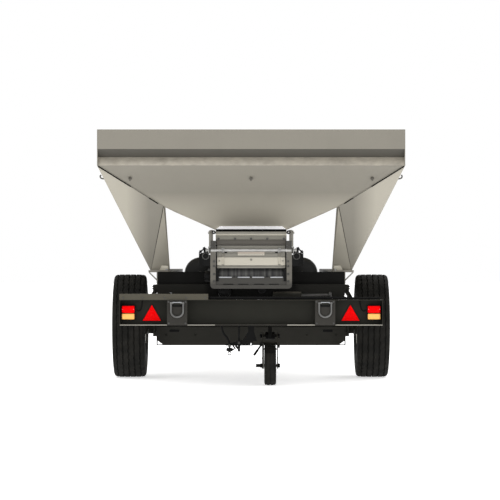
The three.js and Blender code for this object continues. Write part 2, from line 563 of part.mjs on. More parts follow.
const SCRAPER = { top: 912, rear: 160, sheet: 8, slotHalf: 44, slotBottom: 852, slotTop: 859 };
const slot = (x) => block(x - SCRAPER.slotHalf, x + SCRAPER.slotHalf, SCRAPER.rear - 5,
  SCRAPER.rear + SCRAPER.sheet + 5, SCRAPER.slotBottom, SCRAPER.slotTop);
const scraperHalf = FRAME.inner - GAP;
add('belt_scraper', cut(
  block(-scraperHalf, scraperHalf, SCRAPER.rear, SCRAPER.rear + SCRAPER.sheet,
    FRAME.bottom + FRAME.bar + GAP, SCRAPER.top),
  slot(-190), slot(-66), slot(66), slot(190)), DARK);

for (const [name, side] of SIDES) {
  const bracket = (from) => sideBlock(side, TANK.x + 100, RAIL.outer - RAIL.width - GAP,
    from, from + 40, 880, 920);
  add(`reservoir_${name}`, join(barY(TANK.radius, TANK.from, TANK.to, side * TANK.x, TANK.z, 36),
    bracket(TANK.from + 120), bracket(TANK.to - 160)), BLACK);
}

// ---------------------------------------------------------------- rear outlet
// The outlet frame is a U around the belt's end, with ears for the flap's pin.
const EAR = { inner: 318, top: 1308 };
const FRAME_CORNER = 30;
const frameArc = Array.from({ length: 7 }, (_, i) => {
  const angle = (Math.PI / 2) * (i / 6);
  return [FRAME.outer - FRAME_CORNER + FRAME_CORNER * Math.cos(angle),
    FRAME.bottom + FRAME_CORNER - FRAME_CORNER * Math.sin(angle)];
});
const frameHalf = [[FRAME.inner, FRAME.bottom + FRAME.bar], [FRAME.inner, FRAME.top],
  [EAR.inner, FRAME.top], [EAR.inner, EAR.top], [FRAME.outer, EAR.top], ...frameArc];
const GEARBOX = { inner: 335, outer: 392, rear: 155, front: 200, bottom: 1012, top: 1092 };
const gearbox = (side) => sideBlock(side, GEARBOX.inner, GEARBOX.outer, GEARBOX.rear,
  GEARBOX.front, GEARBOX.bottom, GEARBOX.top);
add('outlet_frame', cut(
  join(alongY([...frameHalf, ...mirrored(frameHalf)], FRAME.rear, FRAME.front),
    gearbox(1), gearbox(-1)),
  barX(SHAFT.radius + 0.5, -500, 500, SHAFT.y, SHAFT.z),
  barX(FLAP.pin + 0.5, -500, 500, FLAP.pivotY, FLAP.pivotZ)), BEIGE_LEG);

const flapSection = [
  [182, FLAP.bottom], [182, FLAP.top], [152, FLAP.top], [152, FLAP.top - 6], [176, FLAP.top - 6],
  [176, 1274], [167, 1270], [167, 1265], [176, 1260], [176, FLAP.bottom],
];
add('outlet_flap', join(alongX(flapSection, -FLAP.halfWidth, FLAP.halfWidth),
  barX(FLAP.pin, -FRAME.outer - 6, FRAME.outer + 6, FLAP.pivotY, FLAP.pivotZ, 16)), BEIGE_LEG);
add('flap_curtain', block(-292, 292, 182 + GAP, 187, 1182, 1262), RUBBER);

const gateBar = (half, z0, z1) => block(-half, half, GATE.rear - GATE.bar, GATE.rear + 1, z0, z1);
add('gate', join(
  block(-GATE.halfWidth, GATE.halfWidth, GATE.rear, GATE.rear + GATE.sheet, GATE.bottom, GATE.top),
  gateBar(GATE.halfWidth, 1023, 1079), gateBar(200, 1115, 1128), gateBar(112, 1095, 1116),
  gateBar(GATE.halfWidth, GATE.bottom, GATE.bottom + 12)), CREAM);

const shaftDisc = (radius, x0, x1) => barX(radius, x0, x1, SHAFT.y, SHAFT.z, 16);
add('gate_shaft', join(shaftDisc(SHAFT.radius, -SHAFT.halfLength, SHAFT.halfLength),
  shaftDisc(SHAFT.pinion, 225, 245), shaftDisc(SHAFT.pinion, -245, -225),
  shaftDisc(32, 350, 358), shaftDisc(32, -358, -350),
  shaftDisc(18, 366, 390), shaftDisc(18, -390, -366)), STEEL);

// ---------------------------------------------------------------- side ram
const RAM = { y: 300, z: 764, barrel: 28, rod: 10.5, from: 182, to: 422, boreFrom: 290,
  rodFrom: 300, rodTo: 655, plateFrom: 650, plateTo: 675, plate: 25 };
const ramBracket = (x0, x1) => block(x0, x1, RAM.y + 18, CROSS.rear - GAP, 750, 778);
add('ram_barrel', join(turned([
  [RAM.rod + 0.5, RAM.to], [RAM.rod + 0.5, RAM.boreFrom], [0, RAM.boreFrom], [0, RAM.from],
  [RAM.barrel, RAM.from], [RAM.barrel, RAM.to],
]).translate(0, at(RAM.y), RAM.z), ramBracket(205, 245), ramBracket(380, 410)), DARK);
add('ram_rod', join(barX(RAM.rod, RAM.rodFrom, RAM.rodTo, RAM.y, RAM.z),
  barX(RAM.plate, RAM.plateFrom, RAM.plateTo, RAM.y, RAM.z)), CHROME);

// ---------------------------------------------------------------- ground wheel
/** The outline of a plate with round ends around two points. */
function capsule([u0, v0], [u1, v1], radius) {
  const lean = Math.atan2(v1 - v0, u1 - u0);
  const end = (u, v, start) => Array.from({ length: 9 }, (_, i) => {
    const angle = start + Math.PI * (i / 8);
    return [u + radius * Math.cos(angle), v + radius * Math.sin(angle)];
  });
  return [...end(u1, v1, lean - Math.PI / 2), ...end(u0, v0, lean + Math.PI / 2)];
}
const FORK = { sheet: 8, left: 93, right: 219, half: 28, bolt: 12, pin: 14, crown: 15 };
const LEVER = { y: 470, z: 335, boss: 10 };
const forkOutline = capsule([GROUND.y, GROUND.radius], [GROUND.pivotY, GROUND.pivotZ], FORK.half);
const leverLug = capsule([LEVER.y, LEVER.z], [516, 294], 22);
add('wheel_fork', join(
  alongX(forkOutline, FORK.left, FORK.left + FORK.sheet),
  alongX(leverLug, FORK.left, FORK.left + FORK.sheet),
  alongX(forkOutline, FORK.right, FORK.right + FORK.sheet),
  barX(FORK.pin, FORK.left - 8, FORK.right + 16, GROUND.pivotY, GROUND.pivotZ),
  barX(FORK.crown, FORK.left + 2, FORK.right + 2, 560, 345),
  barX(FORK.bolt, 41, 243, GROUND.y, GROUND.radius)), DARK);

const groundTyre = [[100, 30], [112, 44], [150, 47], [166, 30], [166, 4], [158, 0], [166, -4],
  [166, -30], [150, -47], [112, -44], [100, -30]];
const groundRim = [[12.5, -40], [28, -40], [28, -6], [80, -6], [80, -28], [99.5, -28],
  [99.5, 28], [80, 28], [80, 6], [28, 6], [28, 40], [12.5, 40]];
const groundWheel = new THREE.Group();
groundWheel.position.set(GROUND.x, at(GROUND.y), GROUND.radius);
spreader.add(groundWheel);
add('ground_tyre', turned(groundTyre, 24), RUBBER, groundWheel);
add('ground_rim', turned(groundRim, 24), CREAM, groundWheel);

add('fork_lever', join(barX(LEVER.boss, 76, FORK.left - GAP, LEVER.y, LEVER.z, 16),
  strut([84, LEVER.y, LEVER.z], [29, 440, 258], 8, 12),
  new THREE.SphereGeometry(11, 12, 8).translate(29, at(440), 258)), BLACK);

// ---------------------------------------------------------------- hoses and their bracket
const HOSE = { y: 375, leftX: -182, rightX: -102, top: RAIL.bottom - GAP };
const couplerPlate = alongY([
  [-25, HOSE.top], [-25, 452], [-69, 385], [-215, 342], [-215, 318], [-60, 318], [-30, 347],
  [0, 395], [30, 347], [58, 347], [25, 452], [25, HOSE.top],
], 396, 404);
add('coupler_bracket', join(couplerPlate,
  barZ(25, HOSE.leftX, HOSE.y, 280, 322), barZ(20, HOSE.leftX, HOSE.y, 259, 281),
  barZ(21.5, HOSE.rightX, HOSE.y, 288, 347)), BLACK);
add('hose_left', bentBar([
  [HOSE.leftX, HOSE.y, 322 + GAP], [HOSE.leftX, HOSE.y, 345], [-200, HOSE.y, 395],
  [-238, HOSE.y, 450], [-252, HOSE.y, 540], [-254, HOSE.y, 650], [-254, HOSE.y, 720],
  [-254, HOSE.y, HOSE.top],
], 9, 22), RUBBER);
add('hose_right', bentBar([
  [HOSE.rightX, HOSE.y, 347 + GAP], [HOSE.rightX, HOSE.y, 480], [HOSE.rightX, HOSE.y, 620],
  [HOSE.rightX, HOSE.y, HOSE.top],
], 8, 8), RUBBER);

export default spreader;
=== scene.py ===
"""Looks of the trailed bulk spreader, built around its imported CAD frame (+Z up).

Solids and the camera are placed in millimetres, lights and materials in Blender's metres."""
import math

import bmesh
import bpy
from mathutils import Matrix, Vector


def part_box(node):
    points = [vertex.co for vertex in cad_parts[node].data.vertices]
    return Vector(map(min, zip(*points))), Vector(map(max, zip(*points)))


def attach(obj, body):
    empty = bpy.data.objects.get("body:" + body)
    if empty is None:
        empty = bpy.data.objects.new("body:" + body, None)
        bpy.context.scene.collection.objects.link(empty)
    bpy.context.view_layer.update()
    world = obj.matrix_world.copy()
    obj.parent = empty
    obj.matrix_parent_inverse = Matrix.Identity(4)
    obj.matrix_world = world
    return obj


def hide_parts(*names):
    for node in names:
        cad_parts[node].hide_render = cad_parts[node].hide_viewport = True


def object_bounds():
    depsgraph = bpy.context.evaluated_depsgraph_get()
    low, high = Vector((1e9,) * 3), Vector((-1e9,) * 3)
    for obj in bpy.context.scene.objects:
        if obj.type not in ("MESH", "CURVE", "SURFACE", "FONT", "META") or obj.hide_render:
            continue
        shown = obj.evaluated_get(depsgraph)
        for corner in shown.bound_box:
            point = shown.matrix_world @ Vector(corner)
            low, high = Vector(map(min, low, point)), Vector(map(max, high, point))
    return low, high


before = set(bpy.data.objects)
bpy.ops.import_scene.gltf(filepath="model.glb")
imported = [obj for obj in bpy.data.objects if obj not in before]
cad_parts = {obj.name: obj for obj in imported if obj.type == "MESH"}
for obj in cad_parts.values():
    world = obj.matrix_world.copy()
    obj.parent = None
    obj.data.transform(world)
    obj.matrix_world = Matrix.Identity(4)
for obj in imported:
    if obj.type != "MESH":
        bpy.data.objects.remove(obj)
cad_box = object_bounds()

# ------------------------------------------------------------------ places read from the frame
MM = 0.001                          # one millimetre in metres
RIM_LOW, RIM_HIGH = (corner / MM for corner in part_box("hopper_rear_wall"))
REAR = RIM_LOW.y                    # Y of the hopper's rear rim
SIDES = (("left", -1), ("right", 1))


def at(distance):
    """Y of a plane this far ahead of the hopper's rear rim."""
    return REAR + distance


# ------------------------------------------------------------------ camera, floor and light
CAMERA_BACK = 20000         # camera to rear rim
CAMERA_HEIGHT = 1140.4
CAMERA_X = -9.5
LENS = 174.1

camera_data = bpy.data.cameras.new("camera")
camera_data.lens = LENS
camera_data.sensor_width = 36
camera_data.clip_end = 200
camera = bpy.data.objects.new("camera", camera_data)
bpy.context.collection.objects.link(camera)
camera.location = [v * MM for v in (CAMERA_X, at(-CAMERA_BACK), CAMERA_HEIGHT)]
camera.rotation_euler = (math.pi / 2, 0, 0)
bpy.context.scene.camera = camera
bpy.context.scene.view_settings.view_transform = "Standard"

world = bpy.data.worlds.new("studio")
world.use_nodes = True
world.node_tree.nodes["Background"].inputs["Color"].default_value = (1, 1, 1, 1)
world.node_tree.nodes["Background"].inputs["Strength"].default_value = 1.0
bpy.context.scene.world = world


def area_light(name, place, target, size, power):
    """A square area light aimed at a point."""
    data = bpy.data.lights.new(name, "AREA")
    data.size = size
    data.energy = power
    light = bpy.data.objects.new(name, data)
    light.location = place
    aim = Vector(target) - Vector(place)
    light.rotation_euler = aim.to_track_quat("-Z", "Y").to_euler()
    light.visible_camera = False
    bpy.context.collection.objects.link(light)


area_light("key", (-2.0, -4.5, 10.0), (0, -1.5, 1.0), 5.0, 320)
area_light("fill_left", (-4.5, -7.5, 0.4), (0, -1.5, 1.5), 4.0, 25)
area_light("fill_right", (4.5, -7.5, 0.4), (0, -1.5, 1.5), 4.0, 25)
area_light("rim", (5.0, 6.0, 7.0), (0, 0, 1.0), 5.0, 260)


# ------------------------------------------------------------------ node helpers
class Graph:
    """A material under construction: a Principled shader and the nodes that feed it."""

    def __init__(self, name, color, roughness=0.5, metallic=0.0, specular=0.5):
        self.material = bpy.data.materials.new(name)
        self.material.use_nodes = True
        self.tree = self.material.node_tree
        self.tree.nodes.clear()
        output = self.tree.nodes.new("ShaderNodeOutputMaterial")
        self.shader = self.tree.nodes.new("ShaderNodeBsdfPrincipled")
        self.tree.links.new(self.shader.outputs[0], output.inputs[0])
        self.shader.inputs["Base Color"].default_value = (*color, 1)
        self.shader.inputs["Roughness"].default_value = roughness
        self.shader.inputs["Metallic"].default_value = metallic
        self.shader.inputs["Specular IOR Level"].default_value = specular
        self.material.diffuse_color = (*color, 1)

    def node(self, kind, inputs=(), **settings):
        """A new node; inputs maps socket names or numbers to values or other sockets."""
        made = self.tree.nodes.new(kind)
        for key, value in settings.items():
            setattr(made, key, value)
        for key, value in dict(inputs).items():
            self.feed(made.inputs[key], value)
        return made

    def feed(self, socket, value):
        if isinstance(value, bpy.types.NodeSocket):
            self.tree.links.new(value, socket)
        else:
            socket.default_value = value

    def place(self, stretch=(1, 1, 1)):
        """Coordinates in metres, optionally stretched."""
        where = self.node("ShaderNodeTexCoord").outputs["Object"]
        return self.node("ShaderNodeMapping", {"Vector": where, "Scale": stretch}).outputs[0]

    def noise(self, scale, detail=3.0, stretch=(1, 1, 1), roughness=0.55):
        return self.node("ShaderNodeTexNoise", {"Vector": self.place(stretch), "Scale": scale,
            "Detail": detail, "Roughness": roughness}).outputs["Fac"]

    def span(self, value, low, high, to_low=0.0, to_high=1.0):
        """A value mapped from one range to another, clamped."""
        return self.node("ShaderNodeMapRange", {"Value": value, "From Min": low, "From Max": high,
            "To Min": to_low, "To Max": to_high}).outputs[0]

    def mix(self, factor, a, b, blend="MIX"):
        made = self.node("ShaderNodeMix", data_type="RGBA", blend_type=blend)
        self.feed(made.inputs["Factor"], factor)
        self.feed(made.inputs[6], a if isinstance(a, bpy.types.NodeSocket) else (*a, 1))
        self.feed(made.inputs[7], b if isinstance(b, bpy.types.NodeSocket) else (*b, 1))
        return made.outputs[2]

    def math(self, operation, a, b=0.0):
        made = self.node("ShaderNodeMath", operation=operation)
        self.feed(made.inputs[0], a)
        self.feed(made.inputs[1], b)
        return made.outputs[0]

    def axis(self, name, what="Position"):
        """One component of the object position, or of the surface normal."""
        if what == "Position":
            source = self.node("ShaderNodeTexCoord").outputs["Object"]
        else:
            source = self.node("ShaderNodeNewGeometry").outputs["Normal"]
        return self.node("ShaderNodeSeparateXYZ", {0: source}).outputs[name]

    def color(self, value):
        self.feed(self.shader.inputs["Base Color"], value)

    def bump(self, height, strength, distance):
        made = self.node("ShaderNodeBump", {"Height": height, "Strength": strength, "Distance": distance})
        self.feed(self.shader.inputs["Normal"], made.outputs[0])


def scaled(color, factor):
    return tuple(min(1.0, channel * factor) for channel in color)


# ------------------------------------------------------------------ materials
def enamel(name, color, roughness=0.42, mottling=0.10, dust_and_top_light=0.12, grime=0.25, specular=0.4,
        shade_and_tone=None, pale=None):
    """Sprayed enamel on steel: slight colour drift, dust on top, rain streaks, orange peel.

    The two optional functions, given the graph, may return a 0 to 1 factor: how much painted shade and
    darker tones darken the paint, and how much painted light lightens it."""
    g = Graph(name, color, roughness, 0.0, specular)
    drift = g.span(g.noise(1.3, 4.0), 0.3, 0.7)
    base = g.mix(drift, scaled(color, 1 - mottling), scaled(color, 1 + mottling))
    speck = g.span(g.noise(90.0, 2.0), 0.60, 0.75)
    base = g.mix(g.math("MULTIPLY", speck, 0.25), base, scaled(color, 0.72))
    streak = g.span(g.noise(5.0, 5.0, (1.0, 1.0, 0.08)), 0.56, 0.80)
    base = g.mix(g.math("MULTIPLY", streak, grime), base, scaled(color, 0.70))
    # Dust on upward faces; with the hopper's large amount this is mostly painted light on faces lit from
    # above.
    top = g.span(g.axis("Z", "Normal"), 0.3, 1.0)
    top_face_mask = g.math("MULTIPLY", top, g.span(g.noise(12.0, 4.0), 0.3, 0.7, 0.3, 1.0))
    base = g.mix(g.math("MULTIPLY", top_face_mask, dust_and_top_light), base, (0.42, 0.38, 0.31))
    # Painted light: the masked faces are lifted towards a much lighter copy of the paint.
    if pale:
        base = g.mix(pale(g), base, scaled(color, PAINTED_LIGHT_LIFT))
    # Darkening from the mask: painted shade in the hopper's groove and on the rear cross member, darker
    # tones on the racks and the outlet frame's low bar.
    if shade_and_tone:
        base = g.mix(shade_and_tone(g), base, scaled(color, SHADE_AND_TONE_DEPTH))
    g.color(base)
    worn = g.noise(7.0, 4.0)
    g.feed(g.shader.inputs["Roughness"], g.span(worn, 0.3, 0.7, roughness - 0.08, roughness + 0.12))
    g.bump(g.noise(260.0, 2.0), 0.25, 0.0004)
    return g.material


def between(g, axis, low, high, soft):
    """1 where a coordinate lies between two values, fading out over soft."""
    value = g.axis(axis)
    rise = g.span(value, low - soft, low)
    fall = g.span(value, high, high + soft, 1.0, 0.0)
    return g.math("MULTIPLY", rise, fall)


def groove_painted_shade(g):
    """Painted shade on the downward face of the groove below the rim, outside the hopper."""
    down = g.span(g.axis("Z", "Normal"), -0.25, -0.55)
    band = between(g, "Z", GROOVE_MIDDLE_Z * MM + 0.002, GROOVE_TOP_Z * MM, 0.004)
    return g.math("MULTIPLY", g.math("MULTIPLY", down, band), 0.95)


def mouth_painted_light(g):
    """Painted light on the low, downward-facing part of the sloping walls, towards the mouth."""
    return g.math("MULTIPLY", g.span(g.axis("Z"), 1.62, 1.35), g.span(g.axis("Z", "Normal"), 0, -0.3))


def inward_painted_light(g):
    """Painted light on the faces that look towards the middle of the machine."""
    inward = g.math("MULTIPLY", g.axis("X"), g.axis("X", "Normal"))
    return g.span(inward, -0.28, -0.34, 0.0, 0.60)


def outlet_low_darkening(g):
    """Darker towards the low bar of the outlet frame."""
    return g.span(g.axis("Z"), 0.900, 0.850, 0.0, 0.90)


def above_stiffener(g):
    """The racks' upper part, painted like the gate's darker sheet."""
    return g.span(g.axis("Z"), 1.079, 1.082, 0.0, 0.78)


def chassis_painted_shade(g):
    """Painted shade around the outlet and on the upstand plates."""
    centre = g.span(g.math("ABSOLUTE", g.axis("X")), 0.40, 0.36)
    above = g.span(g.axis("Z"), 0.851, 0.853)
    return g.math("MULTIPLY", g.math("MAXIMUM", centre, above), 0.97)


def steel(name, color, roughness, scratch=(1, 1, 12)):
    """Bare or plated steel with fine brushed scratches and slight tarnish."""
    g = Graph(name, color, roughness, 1.0)
    lines = g.noise(120.0, 4.0, scratch)
    base = g.mix(g.span(g.noise(14.0, 4.0), 0.35, 0.7), color, scaled(color, 0.72))
    g.color(g.mix(g.math("MULTIPLY", lines, 0.3), base, scaled(color, 0.6)))
    g.feed(g.shader.inputs["Roughness"], g.span(lines, 0.3, 0.7, roughness, roughness + 0.18))
    g.bump(lines, 0.15, 0.0003)
    return g.material


def rubber(name, color, roughness=0.8, dusty=0.35, dust_color=(0.085, 0.078, 0.066), lanes=0.0):
    """Moulded rubber with road dust in patches or in lanes along Y, and a pebbled skin."""
    g = Graph(name, color, roughness, 0.0, 0.12)
    patch = g.span(g.noise(9.0, 5.0), 0.42, 0.72)
    base = g.mix(g.math("MULTIPLY", patch, dusty), color, dust_color)
    if lanes:
        lane = g.span(g.noise(70.0, 3.0, (1.0, 0.02, 0.02)), 0.38, 0.62)
        base = g.mix(g.math("MULTIPLY", lane, lanes), base, dust_color)
    g.color(g.mix(g.math("MULTIPLY", g.noise(240.0, 2.0), 0.25), base, scaled(color, 0.6)))
    g.feed(g.shader.inputs["Roughness"], g.span(g.noise(20.0), 0.3, 0.7, roughness - 0.1, 0.92))
    g.bump(g.noise(420.0, 3.0), 0.35, 0.0006)
    return g.material


def lens(name, color):
    """A moulded lamp lens: glossy, with prism ribs behind the surface."""
    g = Graph(name, color, 0.22, 0.0, 0.03)
    ribs = g.node("ShaderNodeTexWave", {"Vector": g.place(), "Scale": 60.0, "Distortion": 0.0},
        wave_type="BANDS", bands_direction="X").outputs["Fac"]
    cells = g.node("ShaderNodeTexWave", {"Vector": g.place(), "Scale": 60.0, "Distortion": 0.0},
        wave_type="BANDS", bands_direction="Z").outputs["Fac"]
    prism = g.math("MULTIPLY", ribs, cells)
    g.color(g.mix(g.math("MULTIPLY", prism, 0.6), color, scaled(color, 1.35)))
    g.bump(prism, 0.5, 0.0015)
    return g.material


SHADE_AND_TONE_DEPTH = 0.30            # how dark painted shade and darker tones make the paint under them
PAINTED_LIGHT_LIFT = 2.30              # how much painted light lifts the paint
GROOVE_MIDDLE_Z, GROOVE_TOP_Z = 1909.5, 1976

# Hopper paint: its large dust amount lightens the upward faces as painted light, with painted shade in the
# groove under the rim and painted light on the low slopes by the mouth.
HOPPER = enamel("hopper_enamel", (0.203, 0.189, 0.157), 0.5, 0.04, 1.60, 0.18, shade_and_tone=groove_painted_shade,
    pale=mouth_painted_light)
# Leg paint, with painted light on the faces that look towards the middle.
LEG = enamel("leg_enamel", (0.214, 0.200, 0.167), 0.5, 0.04, 0.12, 0.18, pale=inward_painted_light)
# A lighter copy of the flap's paint: painted light on the flap's rounded top.
FLAP_ROLL_LIT = enamel("flap_roll_lit_enamel", (0.270, 0.255, 0.218), 0.5, 0.05, 0.12, 0.20)
OUTLET = enamel("outlet_enamel", (0.101, 0.094, 0.078), 0.5, 0.10, 0.05, 0.35, shade_and_tone=outlet_low_darkening)
FLAP = enamel("flap_enamel", (0.150, 0.143, 0.117), 0.5, 0.06, 0.10, 0.30)
SCRAPER = enamel("scraper_enamel", (0.046, 0.044, 0.039), 0.5, 0.10, 0.10, 0.30, 0.2)
CREAM = enamel("cream_enamel", (0.60, 0.565, 0.47), 0.42, 0.05, 0.10, 0.18)
GATE_BASE = enamel("gate_base_enamel", (0.212, 0.202, 0.172), 0.5, 0.08, 0.05, 0.30)
RACK_PAINT = enamel("rack_enamel", (0.465, 0.436, 0.366), 0.45, 0.05, 0.05, 0.22, shade_and_tone=above_stiffener)
GATE_CREAM = enamel("gate_enamel", (0.465, 0.436, 0.366), 0.45, 0.05, 0.05, 0.22)
BROWN = enamel("scale_strip_enamel", (0.430, 0.370, 0.310), 0.5, 0.06, 0.0, 0.2)
CHARCOAL = enamel("charcoal_enamel", (0.0175, 0.0170, 0.0132), 0.5, 0.14, 0.22, 0.25, 0.10)
CRADLE_PAINT = enamel("cradle_enamel", (0.0276, 0.0264, 0.0218), 0.5, 0.14, 0.22, 0.25, 0.12)
# Rear cross member paint, with painted shade in the middle and over its upper part.
CHASSIS_FACE = enamel("chassis_face", (0.0113, 0.0109, 0.0090), 0.5, 0.10, 0.15, 0.2, 0.08,
    shade_and_tone=chassis_painted_shade)
STEP_PAINT = enamel("step_enamel", (0.070, 0.064, 0.047), 0.55, 0.12, 0.20, 0.30, 0.2)
BLACK = enamel("black_enamel", (0.0055, 0.0055, 0.0054), 0.4, 0.10, 0.03, 0.20, 0.08)
TANK_PAINT = enamel("reservoir_enamel", (0.0155, 0.0155, 0.0145), 0.4, 0.10, 0.10, 0.25, 0.15)
FORK_EDGE = enamel("fork_edge_enamel", (0.150, 0.148, 0.140), 0.5, 0.10, 0.10, 0.25, 0.2)
LAVENDER = enamel("seal_strip", (0.93, 0.92, 0.94), 0.5, 0.03, 0.0, 0.05)
# The seal strip and its screws glow slightly: painted light, not a lamp.
LAVENDER.node_tree.nodes["Principled BSDF"].inputs["Emission Color"].default_value = (1, 1, 1, 1)
LAVENDER.node_tree.nodes["Principled BSDF"].inputs["Emission Strength"].default_value = 0.20
ZINC = steel("zinc_plate", (0.42, 0.43, 0.45), 0.36)
RING_STEEL = steel("ring_steel", (0.17, 0.17, 0.165), 0.30)
DARK_STEEL = steel("dark_steel", (0.10, 0.098, 0.094), 0.45)
BRIGHT = steel("polished_steel", (0.46, 0.455, 0.44), 0.30, (8, 1, 1))
TYRE = rubber("tyre_rubber", (0.0099, 0.0097, 0.0085), 0.85, 0.40, (0.036, 0.033, 0.028))
BELT = rubber("belt_rubber", (0.035, 0.035, 0.036), 0.8, 0.3, (0.150, 0.148, 0.140), 0.55)
CURTAIN = rubber("curtain_rubber", (0.095, 0.088, 0.077), 0.85, 0.3)
HOSE = rubber("hose_rubber", (0.0050, 0.0050, 0.0050), 0.7, 0.05, (0.030, 0.028, 0.024))
RED = lens("red_lens", (0.86, 0.0010, 0.0018))
AMBER = lens("amber_lens", (0.94, 0.465, 0.129))
LASHING_PAINT = enamel("lashing_plate_enamel", (0.030, 0.028, 0.024), 0.5, 0.12, 0.2, 0.3, 0.15)
# Pale paint for the lit edge of the beam's lower flange: a painted highlight.
EDGE_HIGHLIGHT = enamel("highlight_paint", (0.345, 0.328, 0.283), 0.5, 0.2, 0.1, 0.3)

# The slot named for each material; done() looks it up unless its call names another.
SLOTS = {material.name: slot for slot, materials in {
    "black_paint": (BLACK, TANK_PAINT),
    "chrome_rod": (BRIGHT,),
    "gate_cream": (BROWN, GATE_BASE, GATE_CREAM, LAVENDER, RACK_PAINT),
    "dark_paint": (CHARCOAL, EDGE_HIGHLIGHT, FORK_EDGE, LASHING_PAINT, STEP_PAINT),
    "rim_cream": (CREAM,),
    "belt_rubber": (CURTAIN, HOSE),
    "bare_steel": (DARK_STEEL, OUTLET, RING_STEEL, SCRAPER, ZINC),
    "leg_beige": (FLAP, FLAP_ROLL_LIT, LEG),
    "hopper_beige": (HOPPER,),
    "red_lens": (RED,),
    "amber_lens": (AMBER,),
    "tyre": (TYRE,),
}.items() for material in materials}


# ------------------------------------------------------------------ mesh helpers
AXES = {"X": Vector((1, 0, 0)), "Y": Vector((0, 1, 0)), "Z": Vector((0, 0, 1)),
        "-X": Vector((-1, 0, 0)), "-Y": Vector((0, -1, 0)), "-Z": Vector((0, 0, -1))}


def unit(direction):
    """A unit vector from an axis name or from any vector."""
    return AXES[direction] if isinstance(direction, str) else Vector(direction).normalized()


def basis(direction):
    """Two unit vectors square to a direction and to each other."""
    forward = unit(direction)
    up = Vector((0, 0, 1)) if abs(forward.z) < 0.9 else Vector((0, 1, 0))
    across = up.cross(forward).normalized()
    return across, forward.cross(across)


def smooth_path(points, steps=8):
    """Points along a Catmull-Rom curve through the given points."""
    line = [Vector(p) for p in points]
    ends = [line[0] * 2 - line[1], *line, line[-1] * 2 - line[-2]]
    path = []
    for a, b, c, d in zip(ends, ends[1:], ends[2:], ends[3:]):
        for i in range(steps):
            t = i / steps
            path.append(0.5 * (2 * b + (c - a) * t + (2 * a - 5 * b + 4 * c - d) * t * t
                               + (3 * b - a - 3 * c + d) * t ** 3))
    return [*path, line[-1]]


